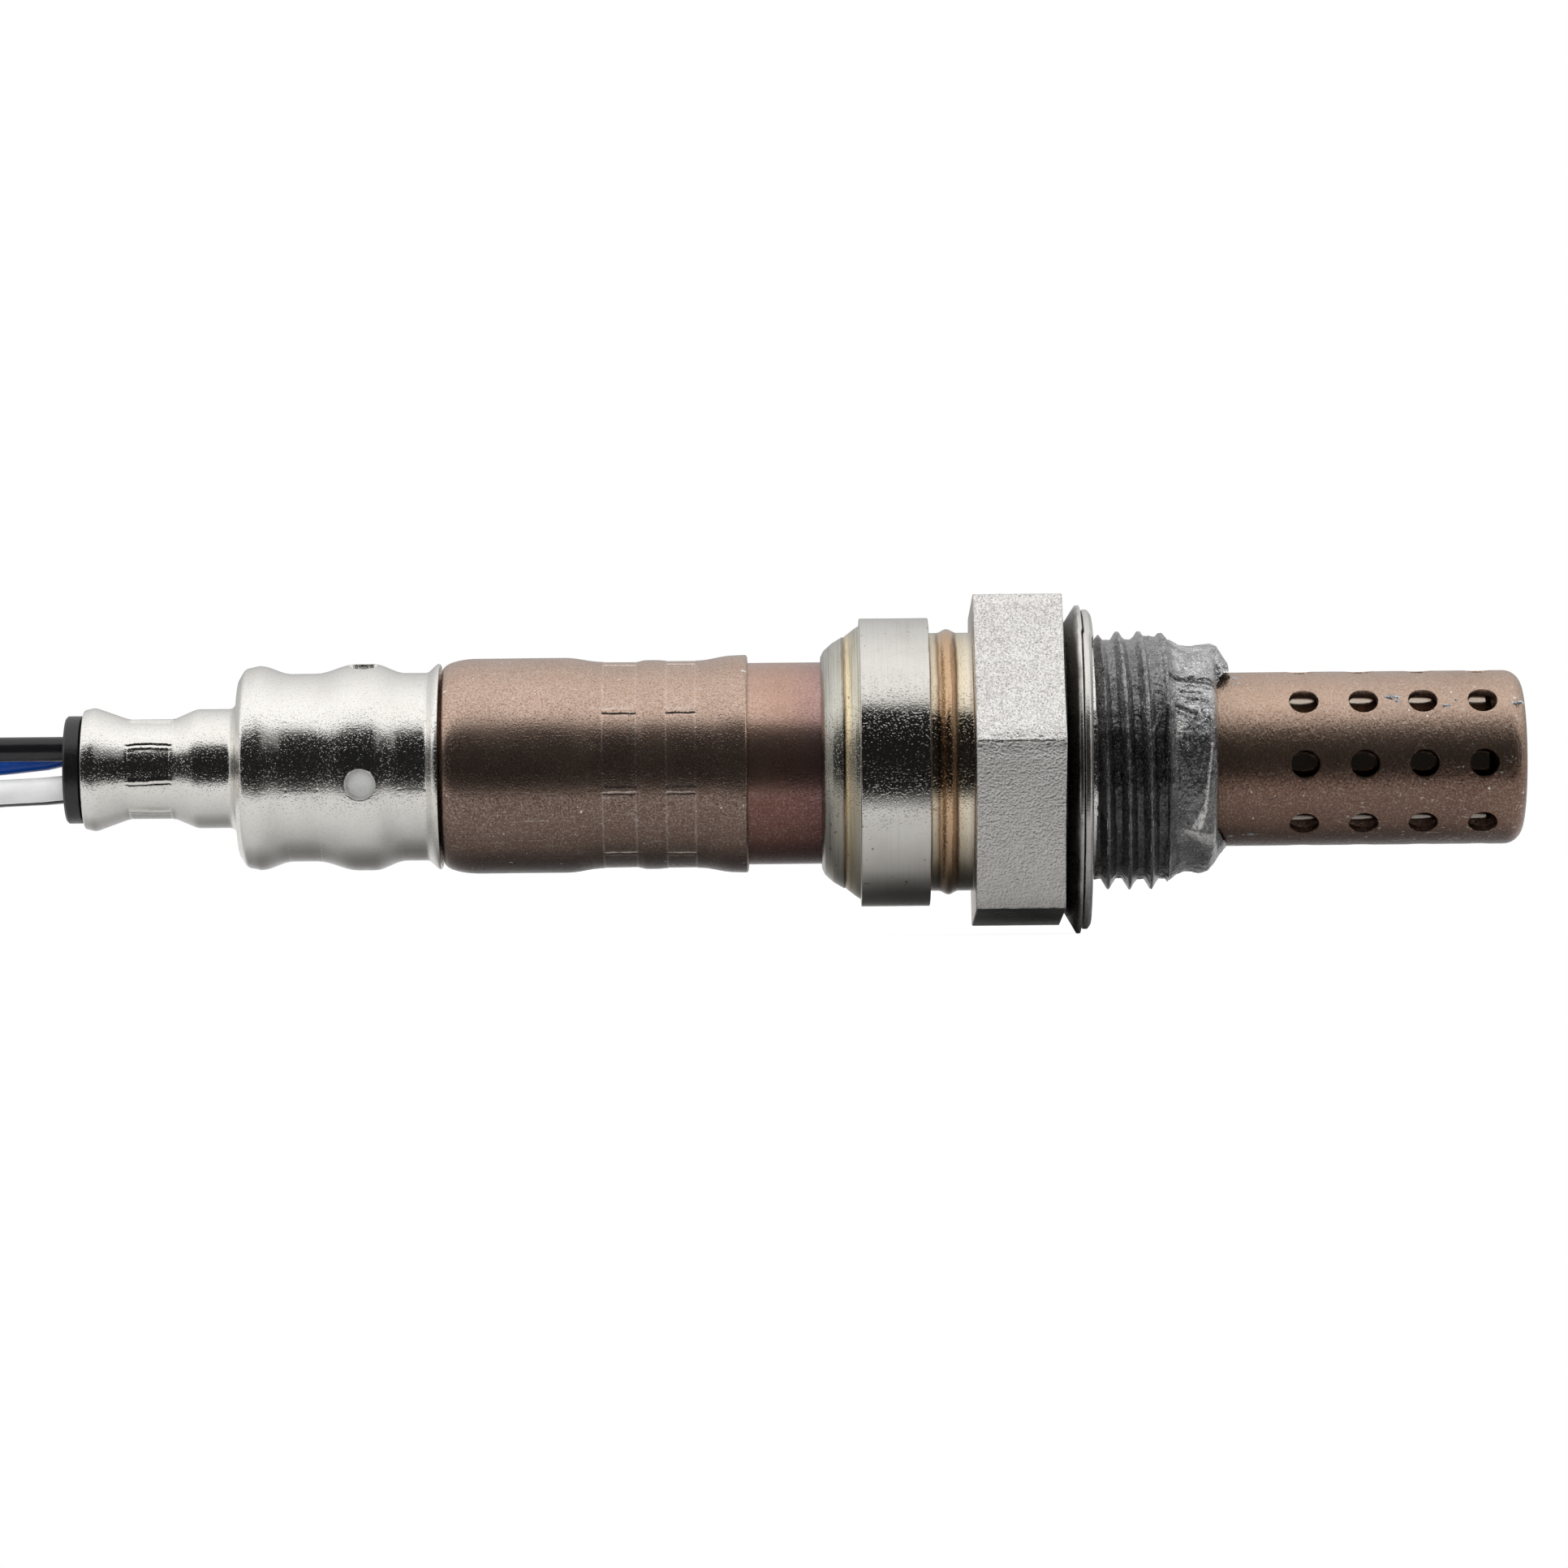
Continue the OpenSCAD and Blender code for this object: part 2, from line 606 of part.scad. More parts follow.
// Upper case: crimped on the lower case in two bands and drawn down to the rear tube
module upper_case() {
    r = upper_d / 2;
    between_r = (band_rear_d + band_front_d) / 4 + 0.09;
    ridge_r = 0.09;
    color([0.43, 0.33, 0.27]) union() {
        difference() {
            drawn(concat([[rear_x, rear_d / 2], [skirt_x, rear_d / 2]],
                [for (a = [0:15:90]) [skirt_x + shoulder_len * (1 - cos(a)),
                    r - shoulder_rise * (1 - sin(a))]],
                both_bands(r, band_rear_d / 2, between_r, band_front_d / 2, r - fit),
                blend(upper_x1 - 2.4, r - fit, upper_x1 - 0.5, flare_d / 2, 3),
                [[upper_x1, flare_d / 2 - 0.03]]), case_wall);
            for (i = [0:3]) at_angle(vent_turn + 45 + 90 * i)
                radial_hole(skirt_x - vent_at, vent_d - 0.4, rear_d / 2);
        }
        jaw_ridges(upper_x1 - band_rear[1], upper_x1 - band_rear[0],
            band_rear_d / 2, band_rear_d / 2 + ridge_r, band_turn);
        jaw_ridges(upper_x1 - band_front[1], upper_x1 - band_front[0],
            band_front_d / 2, band_front_d / 2 + ridge_r, band_turn);
    }
}

// The outside of the filter cover, from its mouth to the edge of its skirt
function cover_outline() =
    let (neck_r = neck_d / 2, waist_r = waist_d / 2, crimp_r = crimp_d / 2,
         front_r = bulge_d / 2, rear_r = rear_bulge_d / 2, x = skirt_x)
    concat([[mouth_x, mouth_d / 2 - 0.3]],
        blend(x - flare_at, mouth_d / 2, x - waist_at[1], waist_r),
        blend(x - waist_at[0], waist_r, x - neck_at[1], neck_r),
        [[x - neck_at[0], neck_r], [x - step_at - 0.1, neck_r + 0.4],
         [x - step_at, rear_r - 0.95], [x - step_at + 0.45, rear_r - 0.2]],
        blend(x - rear_bulge_at, rear_r, x - groove_rear[1], crimp_r),
        blend(x - groove_rear[0], crimp_r, x - front_bulge_at[1], front_r),
        blend(x - front_bulge_at[0], front_r, x - groove_front[1], crimp_r),
        blend(x - groove_front[0], crimp_r, x - skirt_gap, front_r, 4));

// Filter cover: one drawn sheet, crimped on the rear tube and on the grommet
module filter_cover() {
    mark = 0.04;
    color([0.80, 0.79, 0.77]) union() {
        difference() {
            drawn(cover_outline(), cover_wall);
            for (i = [0:3]) at_angle(vent_turn + 90 * i)
                radial_hole(skirt_x - vent_at, vent_d, bulge_d / 2);
        }
        jaw_ridges(skirt_x - waist_at[1], skirt_x - waist_at[0],
            waist_d / 2, waist_d / 2 + 0.12, cover_turn, 0.4);
        jaw_ridges(skirt_x - groove_rear[1], skirt_x - groove_rear[0],
            crimp_d / 2, crimp_d / 2 + mark, groove_turn, 0.3);
        jaw_ridges(skirt_x - groove_front[1], skirt_x - groove_front[0],
            crimp_d / 2, crimp_d / 2 + mark, groove_turn, 0.3);
    }
}

// Porous sleeve that lets air through the vent holes and keeps water out
module vent_filter() {
    r = rear_d / 2;
    color([0.95, 0.95, 0.94])
        ring(skirt_x - groove_rear[1] - 1, skirt_x - groove_front[0] + 0.6, r, r + filter_t);
}

// Rubber grommet with four bores, held by the rear tube and by the cover's waist
module grommet() {
    rear_r = rear_d / 2 - case_wall - fit;
    neck_r = neck_d / 2 - cover_wall - fit;
    waist_r = waist_d / 2 - cover_wall - fit;
    mouth_r = mouth_d / 2 - cover_wall - 0.45;
    color([0.10, 0.10, 0.11]) difference() {
        turned([[grommet_x, 0], [grommet_x, grommet_d / 2 - 0.15], [grommet_x + 0.15, grommet_d / 2],
            [grommet_x + grommet_flange - 0.15, grommet_d / 2],
            [grommet_x + grommet_flange, grommet_d / 2 - 0.15], [grommet_x + grommet_flange, mouth_r],
            [skirt_x - flare_at, mouth_r], [skirt_x - waist_at[1] - 0.6, waist_r],
            [skirt_x - waist_at[0] + 0.6, waist_r], [skirt_x - neck_at[1], neck_r],
            [rear_x - 0.6, neck_r], [rear_x - 0.2, rear_r - 0.6], [rear_x - 0.1, rear_r],
            [grommet_x1, rear_r], [grommet_x1, 0]]);
        for (a = lead_angles) at_angle(a) translate([grommet_x - 1, -lead_pitch, 0])
            along_axis() cylinder(d = lead_d, h = grommet_x1 - grommet_x + 2, $fn = 32);
    }
}

// Ceramic heater rod inside the element
module heater_rod() {
    r = heater_d / 2;
    edge = 0.3;
    color([0.88, 0.87, 0.84]) turned([[heater_x0, 0], [heater_x0, r], [heater_x1 - edge, r],
        [heater_x1, r - edge], [heater_x1, 0]]);
}

// Ceramic block that keeps the four terminals apart
module terminal_insulator() {
    front_r = min(lower_d, band_rear_d - 2 * case_wall) / 2 - case_wall - 2 * loose - fit;
    rear_r = upper_d / 2 - case_wall - loose;
    color([0.94, 0.93, 0.90]) difference() {
        turned([[insulator_x0, 0], [insulator_x0, rear_r - 0.4], [insulator_x0 + 0.4, rear_r],
            [lower_x0, rear_r], [lower_x0, front_r], [insulator_x1, front_r], [insulator_x1, 0]]);
        translate([heater_x0 - 1, 0, 0]) along_axis()
            cylinder(r = heater_d / 2 + strip_t + 0.25, h = insulator_x1 - heater_x0 + 2);
        for (a = lead_angles) at_angle(a) translate([insulator_x0 - 1, -bore_pitch, 0])
            along_axis() cylinder(d = terminal_bore, h = insulator_x1 - insulator_x0 + 2, $fn = 32);
    }
}

// Conical spring washer that keeps the terminal insulator pressed against the lower case
module disc_spring() {
    outer_r = upper_d / 2 - case_wall - 0.6;
    inner_r = bore_pitch + lead_d / 2 + 0.4;
    thick = 0.4;
    seat_x = skirt_x + case_wall;
    color([0.55, 0.55, 0.56]) turned([[seat_x, inner_r], [insulator_x0 - thick, outer_r],
        [insulator_x0, outer_r], [seat_x + thick, inner_r]]);
}

// A contact's strip from its clip to its lead, with the crimped barrel at the end
module contact_strip(x_clip, r_clip) {
    strip_r = element_d / 2 + 0.02;
    reach = strip_r + strip_t;
    barrel_r = terminal_bore / 2 - 0.2;
    translate([x_clip - strip_t, -reach, -strip_w / 2])
        cube([strip_t, reach - r_clip, strip_w]);
    translate([crimp_x - 0.2, -reach, -strip_w / 2])
        cube([x_clip - crimp_x + 0.2, strip_t, strip_w]);
    translate([lead_x, -bore_pitch, 0]) along_axis()
        cylinder(r = barrel_r, h = crimp_x - lead_x, $fn = 32);
}

// Contact on the element's outside
module outer_contact() {
    r = element_d / 2 + 0.02;
    x = element_x0 + 0.4;
    color([0.80, 0.78, 0.74]) at_angle(lead_angles[1]) union() {
        turned_sector(ring_section(x, case_flange_x - case_wall - 1, r, r + strip_t), 330);
        contact_strip(x + strip_t + 0.2, r);
    }
}

// Contact in the element's bore
module inner_contact() {
    r = element_bore / 2 - 0.02;
    x = element_x0 - 0.5;
    color([0.80, 0.78, 0.74]) at_angle(lead_angles[3]) union() {
        turned_sector(ring_section(x - strip_t, element_x0 + contact_depth, heater_d / 2 + 0.02, r), 330);
        contact_strip(x, heater_d / 2 + 0.1);
    }
}

// Contact shoe on one side of the heater rod's rear end
module heater_contact(index) {
    r = heater_d / 2 + 0.02;
    x = (element_x0 + insulator_x1) / 2;
    color([0.80, 0.78, 0.74]) at_angle(lead_angles[index]) union() {
        turned_sector(ring_section(heater_x0 + 0.4, x, r, r + strip_t), 110);
        contact_strip(x, r);
    }
}

module heater_contact_1() { heater_contact(0); }
module heater_contact_2() { heater_contact(2); }

// A lead's route: out of its terminal, through the grommet and down to the shrink band
function lead_route(angle) = [
    for (s = concat([[lead_x, 0, bore_pitch]], lead_stations))
        [s[0], -s[2] * cos(angle), s[1] + s[2] * sin(angle)]];

// One insulated lead
module lead(index, tint) {
    color(tint) swept(lead_route(lead_angles[index]), lead_d / 2);
}

module lead_black_1() { lead(0, [0.05, 0.05, 0.06]); }
module lead_blue() { lead(1, [0.05, 0.15, 0.55]); }
module lead_black_2() { lead(2, [0.05, 0.05, 0.06]); }
module lead_white() { lead(3, [0.92, 0.92, 0.92]); }

// Shrink band over the end of the woven sleeve
module shrink_band() {
    r = shrink_d / 2;
    mouth_r = r - 0.7;
    color([0.07, 0.07, 0.07]) translate([0, 0, band_z]) turned([
        [band_x[0], 0], [band_x[0], r], [band_x[1], r], [band_x[1], mouth_r],
        [band_x[1] - band_recess, mouth_r], [band_x[1] - band_recess, 0]]);
}

// The sleeve from the shrink band to the hank
module sleeve_run() {
    color([0.09, 0.09, 0.09]) swept(run_route, sleeve_d / 2);
}

// The hank: one and a half turns of the sleeve, wound inward on the surface
module sleeve_hank() {
    half = sleeve_d / 2;
    color([0.09, 0.09, 0.09]) difference() {
        translate([0, 0, floor_z]) linear_extrude(sleeve_d) difference() {
            union() {
                translate([fold_x, 0]) circle(lane + half);
                translate([rear_fold_x, lane_shift]) circle(lane + lane_shift + half);
                translate([rear_fold_x, -lane - half])
                    square([fold_x - rear_fold_x, lane + outer_lane + sleeve_d]);
            }
            translate([fold_x, 0]) circle(lane - half);
            translate([tail_x, half - lane]) square([fold_x - tail_x, 2 * lane - sleeve_d]);
            translate([rear_fold_x, lane_shift]) circle(lane);
            translate([rear_fold_x, half - lane]) square([tail_x - rear_fold_x, 2 * lane]);
        }
        tie_space();
    }
}

// The sleeve from the hank to the connector
module sleeve_tail() {
    color([0.09, 0.09, 0.09]) swept(tail_route, sleeve_d / 2);
}

// Where the tie passes under and around the two neighbouring turns
module tie_space() {
    translate([tie_x, lane - sleeve_d / 2 - 1, floor_z - 1]) cube([tie_w, sleeve_d * 2 + 2, tie_t + 1]);
}

// Tie around two turns of the hank
module hank_tie() {
    y0 = lane - sleeve_d / 2 - fit;
    wide = 2 * sleeve_d + 2 * fit;
    color([0.12, 0.12, 0.12]) translate([tie_x, 0, 0]) difference() {
        translate([0, y0 - tie_t, floor_z]) cube([tie_w, wide + 2 * tie_t, sleeve_d + 2 * tie_t]);
        translate([-1, y0, floor_z + tie_t]) cube([tie_w + 2, wide, sleeve_d]);
    }
}

// A block along the connector's axis with round long edges
module plug_block(x0, x1, w, h, r) {
    translate([x0, plug_y, plug_z]) along_axis() linear_extrude(x1 - x0) round_plate(h, w, r);
}

// Places of the four sockets around the connector's axis
function socket_places() = [for (y = [-1, 1], z = [-1, 1]) [y * socket_pitch / 2, z * socket_pitch / 2]];

// A round bar at one socket's place
module at_socket(index, x0, x1, r) {
    translate([x0, plug_y + socket_places()[index][0], plug_z + socket_places()[index][1]])
        along_axis() cylinder(r = r, h = x1 - x0, $fn = 32);
}

// Connector shell with four cavities, coding ribs and a locking ramp
module connector_shell() {
    wall = 1.4;
    color([0.32, 0.33, 0.34]) difference() {
        union() {
            plug_block(shell_x0, shell_x1, plug_w - 4, plug_h - 3, plug_round);
            plug_block(shell_x0 + 16, shell_x1, plug_w, plug_h, plug_round);
            for (y = [-1, 1]) translate([shell_x0 + 2, plug_y + y * (plug_w / 2 - 2.6) - 0.6,
                plug_z - plug_h / 4]) cube([16, 1.2 + y * 0.5, plug_h / 2]);
            translate([shell_x0 + 6, plug_y, plug_z + plug_h / 2 - 1.6]) rotate([90, 0, 0])
                linear_extrude(5, center = true) polygon([[0, 0], [11, 0], [11, 1.6], [8, 1.6]]);
        }
        plug_block(shell_x1 - seal_len + cover_len - 4, shell_x1 + 1, plug_w - 2 * wall - 2,
            plug_h - 2 * wall - 1, plug_round);
        for (i = [0:3]) at_socket(i, shell_x0 - 1, shell_x1, socket_r + fit);
        plug_block(shell_x0 - 1, shell_x0 + 1.2, socket_pitch - 2 * socket_r - 0.8, plug_h - 6, 0.3);
    }
}

// Rear cover that holds the seal and guides the sleeve
module connector_cover() {
    color([0.30, 0.31, 0.32]) difference() {
        union() {
            plug_block(shell_x1, cover_x - 1.5, plug_w, plug_h, plug_round);
            translate([cover_x - 1.5, plug_y, plug_z]) along_axis() cylinder(r = sleeve_d / 2 + 1.6, h = 1.5);
        }
        translate([shell_x1 - 1, plug_y, plug_z]) along_axis()
            cylinder(r = sleeve_d / 2 + fit, h = cover_len + 2);
    }
}

// Wire seal behind the sockets
module connector_seal() {
    wall = 1.4;
    color([0.62, 0.30, 0.12])
        plug_block(shell_x1 - seal_len + cover_len - 4, shell_x1, plug_w - 2 * wall - 2 - 2 * fit,
            plug_h - 2 * wall - 1 - 2 * fit, plug_round - fit);
}

// Lock that keeps the sockets in the shell
module connector_lock() {
    color([0.75, 0.74, 0.70])
        plug_block(shell_x0 - 0.6, shell_x0 + 1.2, socket_pitch - 2 * socket_r - 0.9, plug_h - 6.1, 0.3);
}

// One crimped socket
module socket(index) {
    color([0.78, 0.74, 0.60]) difference() {
        at_socket(index, shell_x0 + 1, shell_x1 - seal_len + cover_len - 4, socket_r);
        at_socket(index, shell_x0, shell_x0 + 10, socket_r - 0.4);
    }
}

module socket_1() { socket(0); }
module socket_2() { socket(1); }
module socket_3() { socket(2); }
module socket_4() { socket(3); }

housing();
gasket();
outer_protector();
inner_protector();
packing_washer();
sensing_element();
powder_seal();
insulating_ring();
clamping_ring();
lower_case();
upper_case();
filter_cover();
vent_filter();
grommet();
heater_rod();
terminal_insulator();
disc_spring();
outer_contact();
inner_contact();
heater_contact_1();
heater_contact_2();
lead_black_1();
lead_blue();
lead_black_2();
lead_white();
shrink_band();
sleeve_run();
sleeve_hank();
sleeve_tail();
hank_tie();
connector_shell();
connector_cover();
connector_seal();
connector_lock();
socket_1();
socket_2();
socket_3();
socket_4();
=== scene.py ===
"""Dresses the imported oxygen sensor: drawn and turned metal, paste, leads, sleeve, connector, light.

Lengths are millimetres and angles degrees. X runs along the axis, with the sealing face at 0 and the tip
at the right. An angle around the axis starts at the front, which the camera sees, and rises to the top.
"""

from math import acos, ceil, cos, degrees, hypot, pi, radians, sin, tan

import bmesh
import bpy
import numpy as np
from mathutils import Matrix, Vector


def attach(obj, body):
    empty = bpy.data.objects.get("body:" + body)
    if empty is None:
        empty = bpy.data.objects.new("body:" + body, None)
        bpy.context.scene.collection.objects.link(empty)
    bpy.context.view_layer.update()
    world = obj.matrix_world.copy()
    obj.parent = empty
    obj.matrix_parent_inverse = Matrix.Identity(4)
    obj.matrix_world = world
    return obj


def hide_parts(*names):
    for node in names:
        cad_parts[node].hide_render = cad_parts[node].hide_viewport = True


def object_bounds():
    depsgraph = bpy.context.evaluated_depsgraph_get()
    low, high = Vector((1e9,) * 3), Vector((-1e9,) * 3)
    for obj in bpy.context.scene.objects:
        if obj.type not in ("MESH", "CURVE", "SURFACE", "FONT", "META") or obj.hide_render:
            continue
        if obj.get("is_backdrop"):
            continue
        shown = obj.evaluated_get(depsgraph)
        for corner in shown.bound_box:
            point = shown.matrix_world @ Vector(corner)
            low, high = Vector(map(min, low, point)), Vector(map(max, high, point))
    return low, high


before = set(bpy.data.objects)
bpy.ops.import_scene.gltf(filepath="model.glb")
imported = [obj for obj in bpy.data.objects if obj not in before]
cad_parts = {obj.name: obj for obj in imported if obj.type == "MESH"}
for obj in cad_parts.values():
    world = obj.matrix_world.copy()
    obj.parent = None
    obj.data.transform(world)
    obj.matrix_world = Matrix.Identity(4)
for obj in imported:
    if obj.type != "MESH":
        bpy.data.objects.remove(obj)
CAD_LOW, CAD_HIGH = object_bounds()
MM = 0.001
FLOOR_Z = round(CAD_LOW[2] / MM, 3)
TIP_X = round(CAD_HIGH[0] / MM, 3)


# Node graphs
class Value:
    """A node's output, which can be added, subtracted and multiplied."""

    def __init__(self, graph, socket):
        self.graph = graph
        self.socket = socket

    def __add__(self, other):
        return self.graph.math("ADD", self, other)

    def __sub__(self, other):
        return self.graph.math("SUBTRACT", self, other)

    def __rsub__(self, other):
        return self.graph.math("SUBTRACT", other, self)

    def __mul__(self, other):
        return self.graph.math("MULTIPLY", self, other)


class Graph:
    """A material's or the world's node tree, built one node a line."""

    def __init__(self, tree):
        self.tree = tree
        tree.nodes.clear()

    def put(self, socket, value):
        if isinstance(value, Value):
            self.tree.links.new(value.socket, socket)
        elif value is not None:
            if socket.type == "RGBA" and len(value) == 3:
                value = (*value, 1)
            socket.default_value = value

    def add(self, kind, *values, out=0, named=None, **settings):
        node = self.tree.nodes.new("ShaderNode" + kind)
        for key, value in settings.items():
            setattr(node, key, value)
        for key, value in (dict(enumerate(values)) | (named or {})).items():
            self.put(node.inputs[key], value)
        return Value(self, node.outputs[out]) if len(node.outputs) else None

    def math(self, operation, a, b=None):
        return self.add("Math", a, b, operation=operation)

    def mix(self, factor, a, b, blend="MIX"):
        return self.add("Mix", out=2, named={0: factor, 6: a, 7: b}, data_type="RGBA", blend_type=blend)

    def tint(self, factor, base, colour):
        return self.mix(factor, base, colour, "MULTIPLY")

    def noise(self, vector, scale, detail=2.0, rough=0.5, distortion=0.0):
        """Noise of one scale, or of a scale for each axis."""
        if isinstance(scale, tuple):
            vector, scale = self.stretched(vector, scale), 1.0
        named = {"Vector": vector, "Scale": scale, "Detail": detail, "Roughness": rough}
        return self.add("TexNoise", named=named | {"Distortion": distortion})

    def span(self, value, low, high, to_low=0.0, to_high=1.0):
        return self.add("MapRange", value, low, high, to_low, to_high)

    def ramp(self, factor, stops):
        shade = self.add("ValToRGB", factor)
        elements = shade.socket.node.color_ramp.elements
        while len(elements) < len(stops):
            elements.new(0.5)
        for element, (place, colour) in zip(elements, stops):
            element.position = place
            element.color = (*colour, 1)
        return shade

    def stretched(self, vector, scale):
        return self.add("VectorMath", vector, scale, operation="MULTIPLY")

    def place(self):
        """Object coordinates in millimetres."""
        return self.stretched(self.add("TexCoord", out=3), (1000, 1000, 1000))

    def parts(self, vector):
        node = self.add("SeparateXYZ", vector).socket.node
        return [Value(self, output) for output in node.outputs]

    def tint_along(self, p, stops, scale, spread):
        """Colours along X, with borders that wander by the spread."""
        low, high = stops[0][0], stops[-1][0]
        at = self.span(self.parts(p)[0] + (self.noise(p, scale, 3) - 0.5) * spread, low, high)
        return self.ramp(at, [((x - low) / (high - low), colour) for x, colour in stops])

    def below(self, base, deep):
        """The colour, darker where the surface faces down: painted shade on the underside."""
        down = self.span(self.parts(self.add("TexCoord", out=1))[2], -0.74, -1.0)
        darker = [(0, (1, 1, 1)), (0.62, (deep,) * 3), (0.95, (deep * 0.6,) * 3)]
        return self.tint(1.0, base, self.ramp(down, darker))

    def attribute(self, name):
        return self.add("Attribute", out=2, attribute_name=name)

    def surface(self, base, shine, height, distance, **more):
        """A principled surface, with a bump of that distance in millimetres."""
        bump = self.add("Bump", named={"Height": height, "Distance": distance * MM})
        more = {key.replace("_", " "): value for key, value in more.items()}
        named = {"Base Color": base, "Roughness": shine, "Normal": bump} | more
        return self.add("BsdfPrincipled", named=named)


def material(name, build):
    mat = bpy.data.materials.new(name)
    mat.use_nodes = True
    graph = Graph(mat.node_tree)
    graph.add("OutputMaterial", build(graph))
    return mat


# Numbers: noise, outlines, grids
def lattice(i, j, k, seed):
    """A fixed random value from 0 to 1 for each whole-numbered point."""
    h = (i * 374761393 + j * 668265263 + k * 362437 + seed * 974634777) & 0xFFFFFFFF
    h = ((h ^ (h >> 13)) * 1274126177) & 0xFFFFFFFF
    return ((h ^ (h >> 16)) & 0xFFFF) / 65535.0


def noise(points, size, seed=0, octaves=2):
    """Smooth noise from -1 to 1 with features of that size; points end in an axis of 3."""
    total, weight, share = 0.0, 0.0, 1.0
    for octave in range(octaves):
        p = np.asarray(points) / size * 2**octave
        low = np.floor(p).astype(np.int64)
        u = p - low
        u = u * u * (3 - 2 * u)
        value = 0.0
        for corner in np.ndindex(2, 2, 2):
            near = np.where(corner, u, 1 - u).prod(-1)
            value = value + near * lattice(*np.moveaxis(low + corner, -1, 0), seed + octave)
        total = total + share * (value * 2 - 1)
        weight += share
        share *= 0.5
    return total / weight


def smooth(low, high, value):
    t = np.clip((value - low) / (high - low), 0, 1)
    return t * t * (3 - 2 * t)


def within(value, low, high, soft):
    return smooth(low - soft, low + soft, value) * (1 - smooth(high - soft, high + soft, value))


def hump(value, centre, width):
    """A bell of height 1."""
    return np.exp(-(((value - centre) / width) ** 2))


def turn_to(phi, centre):
    """Signed angle from centre, in degrees."""
    return (phi - centre + 180) % 360 - 180


def rounded(points, step=0.25):
    """An outline of [x, r, fillet] points with its corners turned into arcs."""
    pts = [np.array(p[:2], float) for p in points]
    out = [pts[0]]
    for point, before, at, after in zip(points[1:], pts, pts[1:], pts[2:]):
        u, v = before - at, after - at
        lu, lv = np.linalg.norm(u), np.linalg.norm(v)
        u, v = u / lu, v / lv
        turn = pi - acos(max(-1, min(1, float(u @ v))))
        if len(point) < 3 or turn < 0.02:
            out.append(at)
            continue
        t = min(point[2] * tan(turn / 2), 0.48 * lu, 0.48 * lv)
        radius = t / tan(turn / 2)
        centre = at + (u + v) / np.linalg.norm(u + v) * hypot(t, radius)
        e0, e1 = at + u * t - centre, at + v * t - centre
        for w in np.linspace(0, 1, max(2, ceil(turn / step)) + 1):
            out.append(centre + (sin((1 - w) * turn) * e0 + sin(w * turn) * e1) / sin(turn))
    return np.array(out + [pts[-1]])


def lengths(path):
    return np.concatenate([[0], np.cumsum(np.linalg.norm(np.diff(path, axis=0), axis=1))])


def resampled(path, step, extra=()):
    """The same outline with more points: none further apart than step, and rows at extra x."""
    s = lengths(path)
    keep = np.concatenate([[True], np.diff(s) > 1e-5])
    path, s = path[keep], s[keep]
    marks = [s]
    for a, b in zip(s[:-1], s[1:]):
        marks.append(np.linspace(a, b, max(1, ceil((b - a) / step)) + 1))
    for x in extra:
        for i in range(len(path) - 1):
            x0, x1 = path[i, 0], path[i + 1, 0]
            if x0 <= x < x1:
                marks.append([s[i] + (s[i + 1] - s[i]) * (x - x0) / (x1 - x0)])
    marks = np.unique(np.round(np.concatenate(marks), 4))
    return np.stack([np.interp(marks, s, path[:, 0]), np.interp(marks, s, path[:, 1])], 1)


def cosine(x0, r0, x1, r1, steps=8):
    """A smooth step of an outline from one radius to another."""
    w = np.linspace(0, 1, steps + 1)
    return [[x0 + (x1 - x0) * t, r0 + (r1 - r0) * (1 - cos(pi * t)) / 2] for t in w]


def angles(step, dense=()):
    """Angles around the axis in degrees, with finer ones at centre +- each offset."""
    fixed = {round(float((c + s * o) % 360), 3) for c, offsets in dense for o in offsets for s in (1, -1)}
    marks = np.unique(np.round(np.array([*np.arange(0, 360, step), *fixed]) % 360, 3))
    gaps = np.diff(np.concatenate([marks, [marks[0] + 360]]))
    keep = [g > 0.06 or round(float(m), 3) in fixed for m, g in zip(marks, gaps)]
    return marks[np.array(keep)]


def around(x, r, phi):
    a = np.radians(phi)
    return np.stack([x + 0 * a, -r * np.cos(a), r * np.sin(a)], -1)


def grid_faces(rows, cols, ring=False):
    """Quads of a grid that closes around the axis, and along the outline where ring is true."""
    i, j = np.meshgrid(np.arange(rows if ring else rows - 1), np.arange(cols), indexing="ij")
    i2, j2 = (i + 1) % rows, (j + 1) % cols
    return np.stack([i * cols + j, i2 * cols + j, i2 * cols + j2, i * cols + j2], -1)


# Pieces
def enter(obj, nodes=()):
    bpy.context.scene.collection.objects.link(obj)
    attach(obj, "root")
    if nodes:
        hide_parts(*nodes)
    return obj


def shaded(obj_name, mesh, mat, sharp):
    mesh.shade_smooth()
    mesh.set_sharp_from_angle(angle=radians(sharp))
    mesh.materials.append(mat)
    return bpy.data.objects.new(obj_name, mesh)


def piece(name, verts, faces, mat, nodes=(), sharp=38, values=None):
    """A mesh of the vertices that its faces use, with a named value for each vertex."""
    used, place = np.unique(np.array([v for f in faces for v in f]), return_inverse=True)
    ends = np.cumsum([len(f) for f in faces])[:-1]
    mesh = bpy.data.meshes.new(name)
    mesh.from_pydata((np.asarray(verts)[used] * MM).tolist(), [], [f.tolist() for f in np.split(place, ends)])
    for key, data in (values or {}).items():
        layer = mesh.attributes.new(key, "FLOAT", "POINT")
        layer.data.foreach_set("value", np.asarray(data, np.float32).ravel()[used])
    return enter(shaded(name, mesh, mat, sharp), nodes)


def turned(name, x, r, phi, mat, nodes, sharp=38, lift=0.0):
    """A ring-shaped piece: a row for each point of its closed outline, a column for each angle."""
    verts = around(x, r, phi) + np.array([0, 0, lift])
    faces = grid_faces(*r.shape, ring=True).reshape(-1, 4)
    return piece(name, verts.reshape(-1, 3), faces, mat, nodes, sharp)


